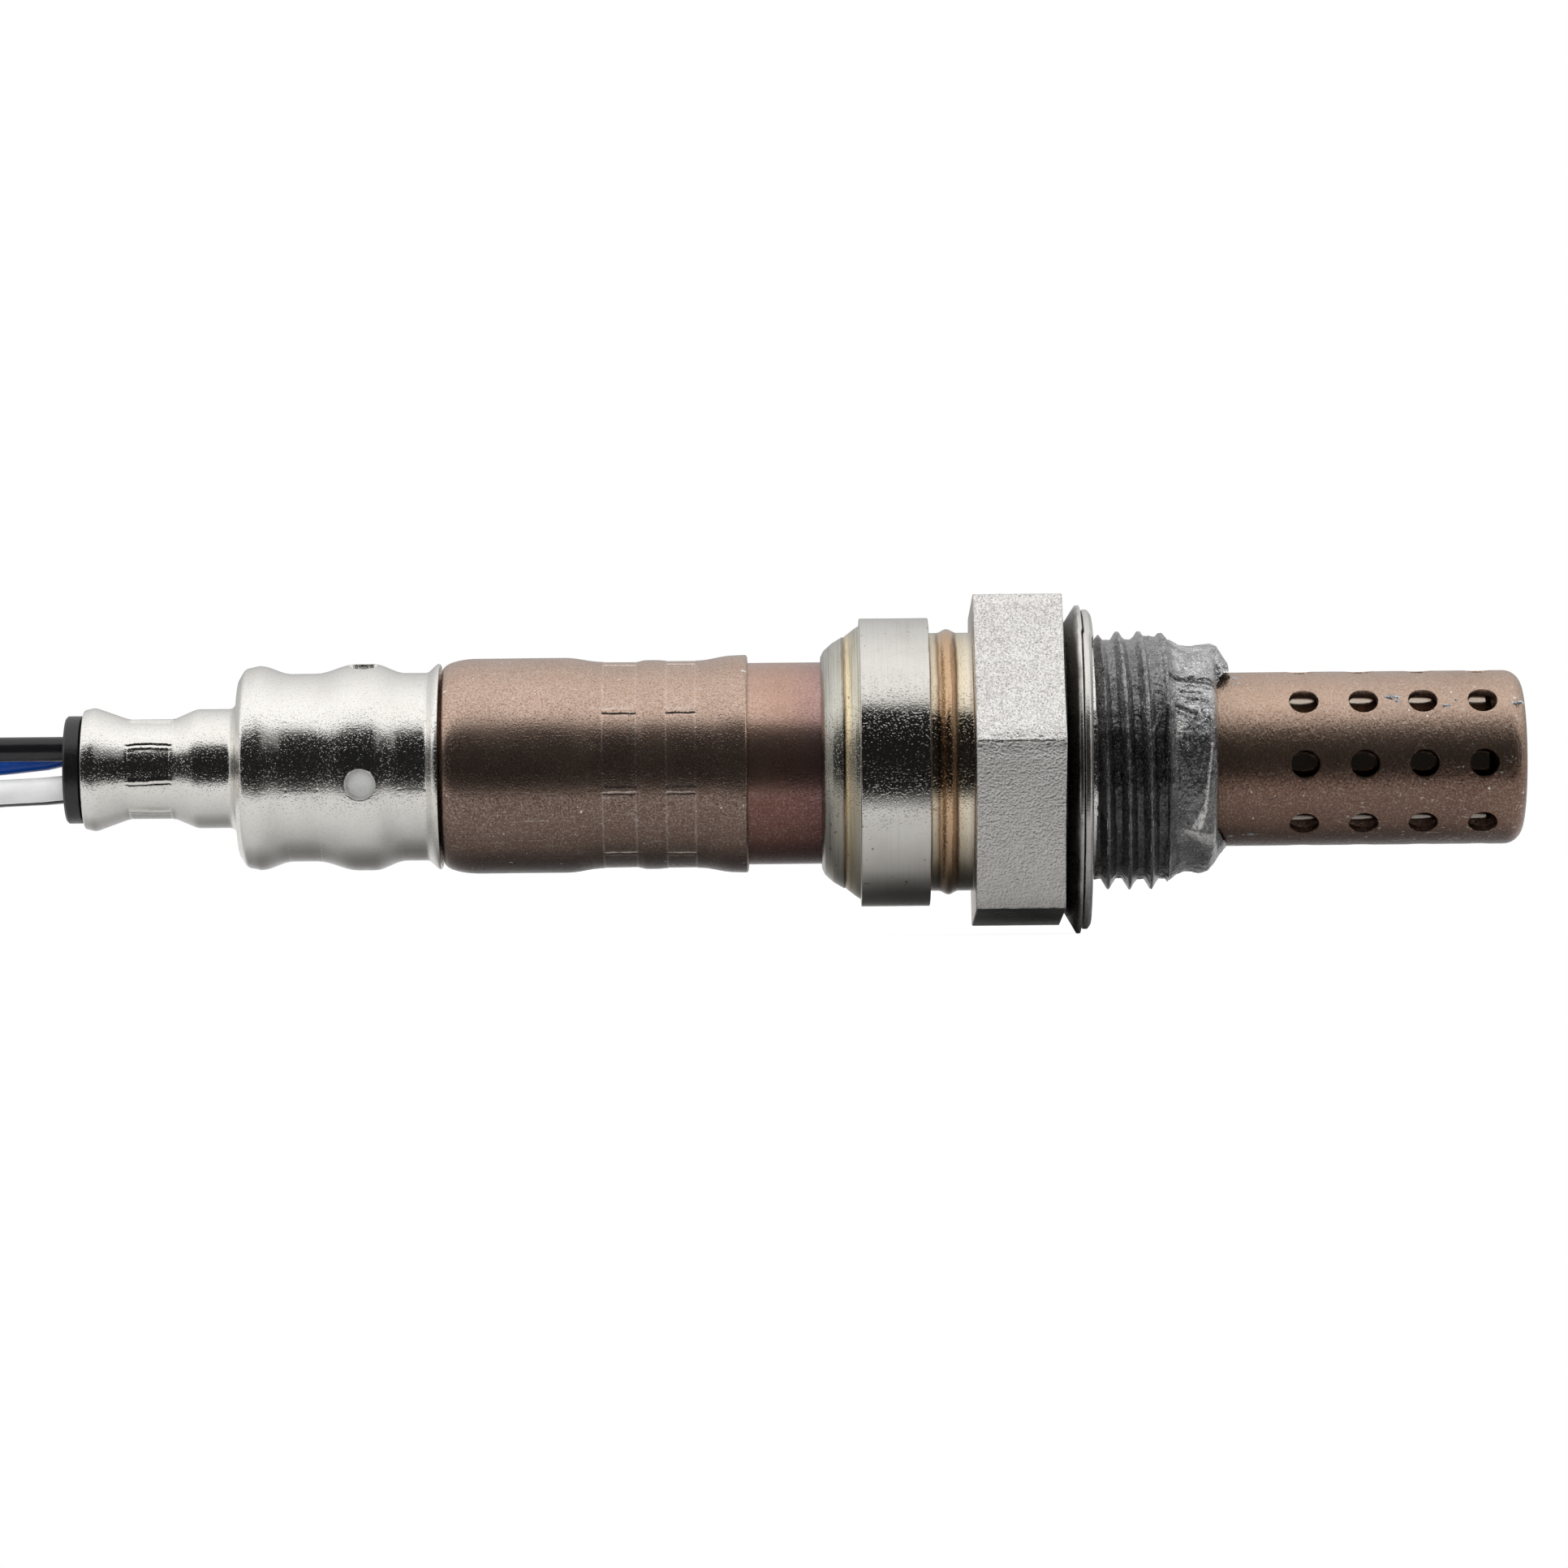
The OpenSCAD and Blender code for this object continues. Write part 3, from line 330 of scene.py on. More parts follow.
def hole_lines(radius):
    """Offsets of grid lines across a round hole and its rolled rim, on both sides of its centre."""
    lines = [radius * k / 5 for k in range(6)] + [radius + d for d in (0.03, 0.07, 0.13, 0.3, 0.55)]
    return [side * line for line in lines for side in (1, -1)]


def thinned(measures, kept):
    """Indices a unit or more apart in some measure, with both ends and all that are kept."""
    out = [0]
    for i in range(1, len(kept)):
        if kept[i] or i == len(kept) - 1 or abs(measures[i] - measures[out[-1]]).max() >= 1:
            out.append(i)
    return np.array(out)


def punched(path, phi, holes, rim):
    """A sheet's grid, drawn round at each hole (x, angle, radius), and the cells to leave out."""
    x = path[:, :1] + 0 * phi
    a = phi + 0 * x
    rims = np.zeros_like(x)
    moved = np.zeros(x.shape, bool)
    gone = np.zeros((len(path) - 1, len(phi)), bool)
    for hole_x, hole_turn, radius in holes:
        scale = np.interp(hole_x, path[:, 0], path[:, 1]) * pi / 180
        u, v = path[:, :1] - hole_x, turn_to(phi, hole_turn) * scale
        square = np.maximum(abs(u), abs(v))
        far = np.maximum(np.hypot(u, v), 1e-9)
        reach = radius * 1.6
        k = square / far
        k = np.where(square <= radius, k, k + (1 - k) * (square - radius) / (reach - radius))
        near = square < reach
        moved |= near
        x = np.where(near, hole_x + u * k, x)
        a = np.where(near, hole_turn + v * k / scale, a)
        edge = np.clip(1 - (far * k - radius) / rim, 0, 1)
        rims = np.where(near, rim - rim * np.sqrt(1 - edge**2), rims)
        middle_u = (u[1:] + u[:-1]) / 2
        middle_v = v + (np.roll(phi, -1) - phi) % 360 * scale / 2
        gone |= (abs(middle_u) < radius) & (abs(middle_v) < radius)
    return x, a, rims, moved, gone


def sheet_faces(gone, few_rows, few_cols, closed):
    """Faces of a sheet: the outside, the inside on fewer lines, the lips and the walls of the holes."""
    cols = gone.shape[1]
    last = len(gone) * cols
    base = last + cols
    quads = grid_faces(len(gone) + 1, cols)
    i, i2 = few_rows[:-1, None], few_rows[1:, None]
    j, j2 = few_cols[None, :], np.roll(few_cols, -1)[None, :]
    inner = np.stack([i * cols + j, i * cols + j2, i2 * cols + j2, i2 * cols + j], -1) + base
    faces = quads[~gone].tolist() + inner[~gone[i, j]].tolist()
    for j, j2 in zip(few_cols, np.append(few_cols[1:], cols)):
        run = [k % cols for k in range(j, j2 + 1)]
        faces.append(run + [base + run[-1], base + j])
        if not closed:
            faces.append([last + k for k in run[::-1]] + [base + last + j, base + last + run[-1]])
    if closed:
        faces.append([last + k for k in range(cols)][::-1])
        faces.append([base + last + k for k in few_cols])
    for i, j in zip(*np.nonzero(gone)):
        corners = quads[i, j]
        for k, beside in enumerate(((i, j - 1), (i + 1, j), (i, (j + 1) % cols), (i - 1, j))):
            if not gone[beside]:
                a, b = corners[k], corners[(k + 1) % 4]
                faces.append([a, b, base + b, base + a])
    return faces


def drawn(name, path, wall, phi, mat, nodes, relief, holes=(), rim=0.1, closed=False, worn=None):
    """A drawn sheet of even thickness with round lips and round holes; path is its outside."""
    s = lengths(path)
    tangent = np.gradient(path, s, axis=0)
    tangent /= np.linalg.norm(tangent, axis=1)[:, None]
    normal = np.stack([-tangent[:, 1], tangent[:, 0]], 1)
    lip = np.clip(s / (wall / 2), 0, 1)
    if not closed:
        lip = np.minimum(lip, np.clip((s[-1] - s) / (wall / 2), 0, 1))
    half = wall / 2 * np.maximum(np.sqrt(1 - (1 - lip) ** 2), 0.25)
    x, a, rims, moved, gone = punched(path, phi, holes, rim)
    level = np.where(moved, np.interp(x, path[:, 0], path[:, 1]), path[:, 1:])
    change = relief(x, a, level)
    verts = []
    for side in (1, -1):
        offset = (-wall / 2 + side * half)[:, None]
        radius = level + offset * normal[:, 1:] + change - side * rims
        verts.append(around(x + offset * normal[:, :1], np.maximum(radius, 0.01), a).reshape(-1, 3))
    bend = np.unwrap(np.arctan2(tangent[:, 1], tangent[:, 0]))
    few_rows = thinned(np.stack([s / 0.6, bend / 0.2], 1), (lip < 1) | moved.any(1))
    few_cols = thinned(phi[:, None] / 6, moved.any(0))
    values = {"worn": np.tile(worn(x, a, level).ravel(), 2)} if worn else None
    faces = sheet_faces(gone, few_rows, few_cols, closed)
    return piece(name, np.concatenate(verts), faces, mat, nodes, values=values)


def dents(seed, x0, x1, count, depth, size):
    """A relief of small seeded dents and a soft unevenness of a drawn sheet."""
    rng = np.random.default_rng(seed)
    ranges = ((x0, x1), (0, 360), (0.3, 1), (0.5, 1.4))
    places = [[rng.uniform(*ends) for ends in ranges] for _ in range(count)]

    def relief(x, phi, r):
        change = 0.01 * noise(around(x, r, phi), 3.5, seed)
        for dent_x, dent_turn, deep, wide in places:
            away = np.hypot(x - dent_x, turn_to(phi, dent_turn) * pi / 180 * r) / (wide * size)
            change = change - deep * depth * np.exp(-2 * away**2)
        return change

    return relief


def dressed(name, mat):
    """A CAD node that stays, with a better material."""
    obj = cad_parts[name]
    for place in obj.material_slots:
        place.material = mat
    return obj


def softened(node, mat, width):
    """A copy of a CAD node's mesh with its edges rounded, which stands for the node."""
    bm = bmesh.new()
    bm.from_mesh(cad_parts[node].data)
    bmesh.ops.remove_doubles(bm, verts=bm.verts, dist=2e-6)
    bmesh.ops.dissolve_limit(bm, angle_limit=radians(2), verts=bm.verts, edges=bm.edges)
    edges = [e for e in bm.edges if len(e.link_faces) == 2 and e.calc_face_angle(0) > radians(35)]
    bmesh.ops.bevel(
        bm, geom=edges, offset=width * MM, segments=3, profile=0.5, affect="EDGES", clamp_overlap=True
    )
    mesh = bpy.data.meshes.new(node + "_shape")
    bm.to_mesh(mesh)
    bm.free()
    return enter(shaded(node + "_shape", mesh, mat, 40), (node,))


# Materials
def metal(name, colour, rough, speckle=0.3, size=0.12, blotch=0.3, lines=0.0, scratch=0.3, bump=0.004,
          worn=0.0, specks=0.0, under=None, reach=(2.8, -2.2), deep=0.6, sparkle=0.8, wrinkle=0.0, oxide=0.0):
    """Metal with clouds, grain of a size, turning lines, scratches and specks.

    The colour is one colour or a list of stops along X. Between the heights of reach it takes the tint
    under, a painted shade on the lower side, and where it faces down it is darker by deep, also painted
    shade.
    """

    def build(g):
        p = g.place()
        x, _, z = g.parts(p)
        base = g.tint_along(p, colour, 0.45, 0.7) if isinstance(colour, list) else colour
        cloud = g.noise(p, 0.32, 4, 0.62)
        # Painted shade: towards the lower of the two heights the colour takes the tint under.
        if under:
            base = g.tint(g.span(z + cloud, *reach), base, under)
        base = g.tint(g.span(cloud, 0.42, 0.75, 0, blotch), base, (0.62, 0.58, 0.54))
        grain = g.noise(p, 1 / size, 2, 0.6)
        base = g.tint(g.span(grain, 0.5, 0.68, 0, speckle), base, (0.4, 0.36, 0.34))
        base = g.mix(g.span(grain, 0.46, 0.32, 0, speckle * 0.4), base, (0.9, 0.86, 0.82))
        along = g.noise(p, (0.35, 6.0, 6.0), 2, 0.55)
        across = g.noise(p, (13.0, 0.2, 0.2), 3, 0.6)
        base = g.mix(g.span(along, 0.62, 0.7, 0, scratch), base, (0.8, 0.79, 0.77))
        base = g.tint(g.span(across, 0.5, 0.75, 0, lines), base, (0.45, 0.44, 0.43))
        # Painted shade on faces turned down.
        base = g.below(base, deep)
        if specks:
            base = g.mix(g.span(g.noise(p, 2.6, 1), 0.765, 0.78, 0, specks), base, (0.93, 0.9, 0.86))
        if worn:
            broken = g.span(g.noise(p, 1.6, 3, 0.6), 0.4, 0.56, 0.25, worn)
            base = g.mix(g.attribute("worn") * broken, base, (0.95, 0.9, 0.84))
        shine = (cloud - 0.5) * 0.16 + rough + grain * 0.06
        spikes = g.span(g.noise(p, 1 / size, 1), 0.58, 0.76, 0, sparkle)
        height = grain + along * (-0.5 * scratch) + spikes + across * (2.0 * lines)
        if wrinkle:
            height = height + g.noise(p, (5.0, 1.4, 1.4), 2, 0.55, 0.8) * wrinkle
            hair = g.span(g.noise(p, (1.6, 3.4, 3.4), 2, 0.5, 1.6), 0.66, 0.7, 0, 0.55)
            base = g.mix(hair * g.span(x, 12.0, 25.0, 0.25, 1.0), base, (0.75, 0.68, 0.6))
        return g.surface(base, shine, height, bump, Metallic=1.0 - oxide)

    return material(name, build)


def plain(name, colour, rough, size=0.4, spread=0.15, bump=0.01, sheen=0.0, gloss=0.5):
    """Moulded plastic, rubber or ceramic with fine grain and soft clouds."""

    def build(g):
        p = g.place()
        grain = g.noise(p, 1 / size, 3, 0.6)
        dark = tuple(c * (1 - spread) for c in colour)
        light = tuple(min(1, c * (1 + spread) + 0.002) for c in colour)
        base = g.ramp(g.noise(p, 0.25, 3, 0.55) * 0.7 + grain * 0.3, [(0.35, dark), (0.65, light)])
        shine = g.span(grain, 0.3, 0.7, rough - 0.06, rough + 0.08)
        return g.surface(base, shine, grain, bump, Sheen_Weight=sheen, Specular_IOR_Level=gloss)

    return material(name, build)


def insulation(name, colour, rough):
    """Smooth extruded insulation with soft clouds and faint lines along it."""

    def build(g):
        p = g.place()
        base = g.ramp(g.noise(p, 0.4, 3), [(0.35, tuple(c * 0.86 for c in colour)), (0.65, colour)])
        fine = g.noise(p, (0.5, 3.0, 3.0), 3, 0.6)
        return g.surface(base, g.span(fine, 0.3, 0.7, rough - 0.05, rough + 0.1), fine, 0.01)

    return material(name, build)


HOUSING_TINT = [
    (-19.2, (0.5, 0.49, 0.44)), (-18.1, (0.58, 0.57, 0.51)), (-17.62, (0.6, 0.58, 0.5)),
    (-17.43, (0.2, 0.16, 0.12)), (-17.3, (0.78, 0.62, 0.38)), (-17.15, (0.96, 0.84, 0.58)),
    (-17.0, (0.74, 0.62, 0.42)), (-16.85, (0.64, 0.6, 0.48)), (-16.4, (0.6, 0.57, 0.48)),
    (-16.25, (0.7, 0.68, 0.64)), (-11.6, (0.7, 0.68, 0.64)), (-11.48, (0.32, 0.25, 0.19)),
    (-11.34, (0.7, 0.62, 0.48)), (-11.1, (0.62, 0.51, 0.36)), (-10.92, (0.22, 0.13, 0.08)),
    (-10.74, (0.68, 0.48, 0.3)), (-10.25, (0.62, 0.41, 0.25)), (-9.86, (0.66, 0.46, 0.29)),
    (-9.69, (0.2, 0.12, 0.075)), (-9.52, (0.74, 0.63, 0.46)), (-8.9, (0.82, 0.74, 0.6)),
    (-8.54, (0.5, 0.42, 0.34)), (-8.4, (0.84, 0.82, 0.8)), (9.4, (0.84, 0.82, 0.8)),
]


def housing_look(g):
    """Turned collar with fine lines, heat tint at the buckled groove, blasted hexagon; painted light and
    shade.
    """
    p = g.place()
    x, _, z = g.parts(p)
    hexagon = g.span(x, -8.55, -8.45) * g.span(x, -1.9, -2.1)
    round_part = 1.0 - hexagon
    lip = g.span(x, -16.2, -16.4)
    cloud = g.noise(p, 0.35, 4, 0.6)
    grain = g.noise(p, 6.0, 2, 0.6)
    beside = g.noise(g.add("VectorMath", p, (0.045, 0.02, -0.05), operation="ADD"), 6.0, 2, 0.6)
    fine = g.noise(p, 8.0, 2, 0.6)
    across = g.noise(p, (11.0, 0.12, 0.12), 3, 0.65)
    painted_relief_light = [(0, (0.62, 0.61, 0.6)), (0.5, (1.0, 1.0, 1.0)), (1, (1.16, 1.16, 1.16))]
    base = g.tint_along(p, HOUSING_TINT, 0.5, 0.22)
    base = g.tint(g.span(cloud, 0.45, 0.75, 0, 0.25), base, (0.7, 0.67, 0.64))
    base = g.tint(g.span(grain, 0.5, 0.68, 0, 0.25) * hexagon, base, (0.52, 0.51, 0.5))
    # Painted light and shade on the blasted grain: the grain against a copy shifted a little aside, lighter
    # on one side of each bump and darker on the other, as if lit from above.
    base = g.tint(hexagon, base, g.ramp(g.span(grain - beside, -0.13, 0.13), painted_relief_light))
    # Painted shade: the hexagon's lower faces, the lip towards the bottom and all faces turned down are
    # darker.
    base = g.tint(hexagon * g.span(z, 1.2, -0.2, 0, 0.85), base, (0.76, 0.755, 0.75))
    base = g.tint(lip * g.span(z, 4.0, -1.5), base, (0.66, 0.64, 0.62))
    base = g.below(base, 0.3)
    base = g.tint(g.span(g.noise(p, 1.7), 0.7, 0.73, 0, 0.7) * round_part, base, (0.3, 0.26, 0.22))
    streak = g.span(across, 0.5, 0.72) * (lip * 0.75 + 0.22) * round_part
    base = g.tint(streak, base, (0.5, 0.48, 0.46))
    shine = hexagon * 0.17 + g.span(cloud, 0.3, 0.7, 0.1, 0.15) + lip * 0.1
    blasted = (grain + fine * 0.4) * hexagon * 7.5
    polished = (g.span(g.noise(p, 7.0, 1), 0.56, 0.72, 0, 1.1) + across * 0.25 + fine * 0.9) * round_part
    return g.surface(base, shine, blasted + polished, 0.01, Metallic=1.0)


def paste_look(g):
    """Wet dark graphite paste with bright flecks, thin and steel-coloured where rubbed; painted light and
    shade.
    """
    p = g.place()
    x, _, z = g.parts(p)
    wiped_and_painted_shade = g.attribute("wiped_and_painted_shade")
    cloud = g.noise(p, 0.9, 4, 0.6)
    fleck = g.noise(p, 8.0, 2, 0.6)
    base = g.ramp(cloud, [(0.3, (0.12, 0.12, 0.125)), (0.7, (0.34, 0.34, 0.345))])
    base = g.mix(g.span(fleck, 0.58, 0.68, 0, 0.8), base, (0.78, 0.77, 0.76))
    base = g.tint(g.span(fleck, 0.46, 0.34, 0, 0.6), base, (0.3, 0.3, 0.31))
    # Painted light: the paste is lighter towards the top. It is also lighter over the nose, and most there on
    # top, which is painted light as well.
    high = g.span(z + cloud * 1.5, 2.2, 4.4)
    nose = g.span(x, 5.2, 5.8) * (high * 0.75 + 0.35)
    painted_top_light_and_nose_tone = (high * 0.6 + 0.55) * (nose + 1.0)
    base = g.tint(1.0, base, g.ramp(painted_top_light_and_nose_tone * 0.5, [(0, (0, 0, 0)), (1, (2, 2, 2))]))
    base = g.mix(g.span(wiped_and_painted_shade, 0, 1), base, (0.72, 0.71, 0.69))
    # Painted shade: negative values darken the deep cuts and the thread's valleys.
    base = g.tint(g.span(wiped_and_painted_shade, 0, -1), base, (0.05, 0.05, 0.05))
    shine = g.span(cloud, 0.3, 0.7, 0.17, 0.33) + fleck * 0.12
    height = g.noise(p, 2.6, 2, 0.6) + fleck * 0.12 + g.span(g.noise(p, 4.0, 1), 0.56, 0.72, 0, 0.45)
    return g.surface(base, shine, height, 0.15, Metallic=0.88, Coat_Weight=0.45, Coat_Roughness=0.12)


CROSSINGS = 0.72  # of the sleeve's strands, per mm along it
STRANDS = 8  # around it, in each direction


def braid_look(g):
    """Woven sleeve: strands that cross over and under, from the tube's own coordinates."""
    along, turn = g.attribute("along") * CROSSINGS, g.attribute("turn") * STRANDS
    one = along + turn
    over = g.math("SINE", one * pi) * g.math("SINE", (along - turn) * pi)
    strand = g.math("ABSOLUTE", g.math("SINE", (one + over * 0.2) * 9.42))
    lit = strand * 0.5 + g.span(over, -1, 1, 0, 0.5)
    base = g.ramp(lit, [(0.1, (0.012, 0.012, 0.013)), (0.9, (0.07, 0.07, 0.075))])
    return g.surface(base, 0.55, over * 0.6 + strand * 0.4, 0.12, Sheen_Weight=0.25)


def porous_look(g):
    """White porous filter."""
    cells = g.add("TexVoronoi", named={"Vector": g.place(), "Scale": 6.0})
    base = g.ramp(cells, [(0.0, (0.84, 0.84, 0.83)), (0.5, (0.96, 0.96, 0.95))])
    return g.surface(base, 0.85, cells, 0.04)


HOUSING = material("housing steel", housing_look)
# The under tints and the deep values below are painted shade on each piece's lower side.
GASKET = metal("gasket steel", [
    (-2.2, (0.1, 0.095, 0.09)), (-1.5, (0.12, 0.11, 0.1)), (-1.3, (0.45, 0.43, 0.4)),
    (-1.15, (0.76, 0.74, 0.71)), (0.1, (0.74, 0.72, 0.69))], 0.24, speckle=0.04, size=0.14, blotch=0.1,
    lines=0.6, scratch=0.0, bump=0.007, deep=0.8, under=(0.66, 0.66, 0.68), reach=(-0.5, -4.5))
OUTER = metal("protector steel", [
    (8, (0.47, 0.34, 0.26)), (12, (0.55, 0.39, 0.3)), (20, (0.51, 0.37, 0.29)), (25, (0.49, 0.35, 0.27)),
    (30.5, (0.55, 0.4, 0.31))], 0.29, speckle=0.4, size=0.14, blotch=0.2, scratch=0.0, bump=0.011,
    specks=0.7, under=(0.4, 0.34, 0.325), reach=(4.4, -0.8), wrinkle=5.0, oxide=0.04, deep=0.5)
INNER = metal("inner protector", (0.6, 0.5, 0.41), 0.1, blotch=0.5, sparkle=0.3)
UPPER = metal("upper case brown", (0.54, 0.385, 0.305), 0.23, speckle=0.6, blotch=0.2, scratch=0.15,
              bump=0.01, worn=0.55, specks=0.8, under=(0.41, 0.385, 0.385), oxide=0.03, deep=0.45)
LOWER = metal("lower case brown", [
    (-24.6, (0.56, 0.38, 0.3)), (-21.5, (0.53, 0.335, 0.265)), (-19.6, (0.46, 0.29, 0.255)),
    (-18.5, (0.42, 0.275, 0.27))], 0.25, speckle=0.35, size=0.13, blotch=0.25, scratch=0.05, bump=0.008,
    under=(0.37, 0.28, 0.285), oxide=0.035, deep=0.5)
COVER = metal("cover steel", (0.86, 0.84, 0.8), 0.14, speckle=0.2, size=0.115, blotch=0.15, scratch=0.15,
              bump=0.011, worn=0.3, deep=0.5, sparkle=0.75)
PASTE = material("thread paste", paste_look)
FILTER = material("porous filter", porous_look)
GROMMET = plain("grommet rubber", (0.004, 0.004, 0.0043), 0.34, size=0.25, spread=0.3, bump=0.02, gloss=0.6)
BLACK = insulation("lead black", (0.01, 0.01, 0.012), 0.2)
BLUE = insulation("lead blue", (0.004, 0.085, 0.48), 0.26)
WHITE = insulation("lead white", (0.95, 0.95, 0.95), 0.3)
SLEEVE = material("woven sleeve", braid_look)
SHRINK = plain("shrink tube", (0.02, 0.02, 0.022), 0.42, size=0.5, spread=0.3, bump=0.02)
TIE = plain("tie", (0.03, 0.03, 0.032), 0.4, size=0.3, spread=0.2)
SHELL = plain("connector grey", (0.13, 0.135, 0.14), 0.42, size=0.15, spread=0.08, bump=0.015)
LOCK = plain("connector lock", (0.55, 0.53, 0.48), 0.4, size=0.2, spread=0.08)
SEAL = plain("wire seal", (0.42, 0.16, 0.05), 0.5, size=0.2, sheen=0.2)
CERAMIC = plain("ceramic", (0.84, 0.82, 0.77), 0.6, size=0.2, spread=0.06, bump=0.006)
TALC = plain("pressed talc", (0.75, 0.73, 0.67), 0.85, size=0.15, spread=0.1, bump=0.03)
SPRING = metal("inner metal", (0.6, 0.58, 0.54), 0.32, lines=0.2, bump=0.006)
SOCKET = metal("socket metal", (0.74, 0.7, 0.58), 0.28, lines=0.3)

# Camera, as far off as the photo's straight view of the parts asks for
scene = bpy.context.scene
view = bpy.data.cameras.new("camera")
view.sensor_width = 36
view.lens = 161.2
camera = bpy.data.objects.new("camera", view)
camera.location = (-0.0216, -0.49, -0.00144)
camera.rotation_euler = (radians(90), radians(0.53), 0)
scene.collection.objects.link(camera)
scene.camera = camera

# Cords: the leads, then the sleeve with its connector
BAND_Z = FLOOR_Z + 3.3
SLEEVE_RADIUS = 2.5
SLEEVE_Z = FLOOR_Z + SLEEVE_RADIUS
PLUG_Z = FLOOR_Z + 7.5
LEAD_RADIUS = 0.85
LEAD_EXIT_X = -71.6
# Each lead: its slot, its material, its angle in the grommet and how far it sags
LEADS = {
    "lead_black_1": ("lead_black", BLACK, 50, 0.0),
    "lead_blue": ("lead_blue", BLUE, 140, -0.7),
    "lead_black_2": ("lead_black", BLACK, 230, -0.25),
    "lead_white": ("lead_white", WHITE, 320, -0.3),
}
# Each station: x, share of the way down to the shrink band, distance from the bundle's middle
LEAD_STATIONS = [
    (-42.0, 0, 3.4), (-45, 0, 3.4), (-48, 0, 2.8), (-52, 0, 1.9), (-58, 0, 1.9), (-65, 0, 1.9),
    (-70.4, 0, 1.9), (-71.4, 0, 1.9), (-73.2, 0, 1.9), (-76, 0, 1.9), (-80, 0.034, 1.9), (-84, 0.137, 1.8),
    (-88, 0.297, 1.7), (-92, 0.503, 1.6), (-96, 0.709, 1.4), (-100, 0.869, 1.3), (-104, 0.971, 1.2),
    (-108.8, 1, 1.2),
]
HANK_REAR_X, HANK_FRONT_X = -210, -153
HANK_BACK_Y, HANK_NEAR_Y = 20, -15
# Each point: x, y, share of the way from the hank's height to the band's, then to the connector's
RUN = [
    (-118, 0, 1), (-121, 0, 0.69), (-125, 0.4, 0.19), (-129, 2.1, 0), (-132.5, 5, 0),
    (-134.9, 8.6, 0), (-138, 13.3, 0), (-142.5, 17.1, 0), (-147.5, 19.3, 0), (-153, 20, 0),
]
TAIL = [
    (-158, 15, 0), (-162, 14.5, 0.01), (-166, 13.0, 0.09), (-169.5, 10.6, 0.27), (-173, 7.6, 0.53),
    (-177, 4.8, 0.79), (-181, 3.1, 0.95), (-185, 2.5, 1), (-188, 2.5, 1),
]


def flowing(points, step):
    """Points of a smooth curve through the given ones, about step apart."""
    pts = np.array(points, float)
    pts = np.vstack([2 * pts[0] - pts[1], pts, 2 * pts[-1] - pts[-2]])
    out = []
    for i in range(1, len(pts) - 2):
        a, b, c, d = pts[i - 1 : i + 3]
        count = max(1, round(float(np.linalg.norm(c - b)) / step))
        for t in np.arange(count) / count:
            bent = (2 * a - 5 * b + 4 * c - d) * t**2 + (3 * b - a - 3 * c + d) * t**3
            out.append(0.5 * (2 * b + (c - a) * t + bent))
    out.append(pts[-2])
    return np.array(out)


def add_lead(name, slot, mat, turn, sag):
    a = radians(turn)
    points = []
    for x, down, apart in LEAD_STATIONS:
        low = sag * np.interp(x, [-84, -80, -76.3, -73.2, LEAD_EXIT_X], [0, 1, 1, 0.55, 0])
        points.append((x, -apart * cos(a), down * BAND_Z + apart * sin(a) + low))
    route = flowing(points, 1.9)
    curve = bpy.data.curves.new(name + "_lead", "CURVE")
    curve.dimensions = "3D"
    curve.bevel_depth = LEAD_RADIUS * MM
    curve.bevel_resolution = 8
    curve.use_fill_caps = True
    spline = curve.splines.new("POLY")
    spline.points.add(len(route) - 1)
    spline.points.foreach_set("co", np.hstack([route * MM, np.ones((len(route), 1))]).ravel())
    spline.use_smooth = True
    curve.materials.append(mat)
    lead = enter(bpy.data.objects.new(name + "_insulation", curve), (name,))


for lead_name, lead_values in LEADS.items():
    add_lead(lead_name, *lead_values)


def sleeve_route():
    """The run from the shrink band, one and a half turns of the hank, and the tail to the connector."""
    bend, middle = (HANK_BACK_Y - HANK_NEAR_Y) / 2, (HANK_BACK_Y + HANK_NEAR_Y) / 2
    arc_rear = [(HANK_REAR_X - bend * sin(t), middle + bend * cos(t)) for t in np.linspace(0, pi, 25)]
    arc_front = [(HANK_FRONT_X - HANK_NEAR_Y * sin(t), HANK_NEAR_Y * cos(t)) for t in np.linspace(0, pi, 22)]
    lane_back = [(x, HANK_BACK_Y) for x in np.linspace(-157, -206, 11)]
    lane_front = [(x, HANK_NEAR_Y) for x in np.linspace(-206, -157, 11)]
    run = [(x, y, SLEEVE_Z + share * (BAND_Z - SLEEVE_Z)) for x, y, share in RUN]
    turns = lane_back + arc_rear + lane_front + arc_front + [(-155.5, -HANK_NEAR_Y)]
    hank = [(x, y, SLEEVE_Z) for x, y in turns]
    tail = [(x, y, SLEEVE_Z + share * (PLUG_Z - SLEEVE_Z)) for x, y, share in TAIL]
    return flowing(run + hank + tail, 0.42)


def tube(line, radius, sides):
    """A tube along a line with crossing strands, and its own along and around coordinates."""
    ahead = np.gradient(line, axis=0)
    ahead /= np.linalg.norm(ahead, axis=1)[:, None]
    side = np.cross(ahead, [0, 0, 1.0])
    side /= np.linalg.norm(side, axis=1)[:, None]
    up = np.cross(side, ahead)
    s = lengths(line)[:, None]
    t = np.arange(sides)[None, :] / sides
    weave = np.sin(pi * (CROSSINGS * s + STRANDS * t)) * np.sin(pi * (CROSSINGS * s - STRANDS * t))
    r = (radius - 0.07 + 0.07 * weave)[..., None]
    c, d = np.cos(2 * pi * t)[..., None], np.sin(2 * pi * t)[..., None]
    verts = line[:, None] + r * (c * side[:, None] + d * up[:, None])
    return verts, s + 0 * t, t + 0 * s


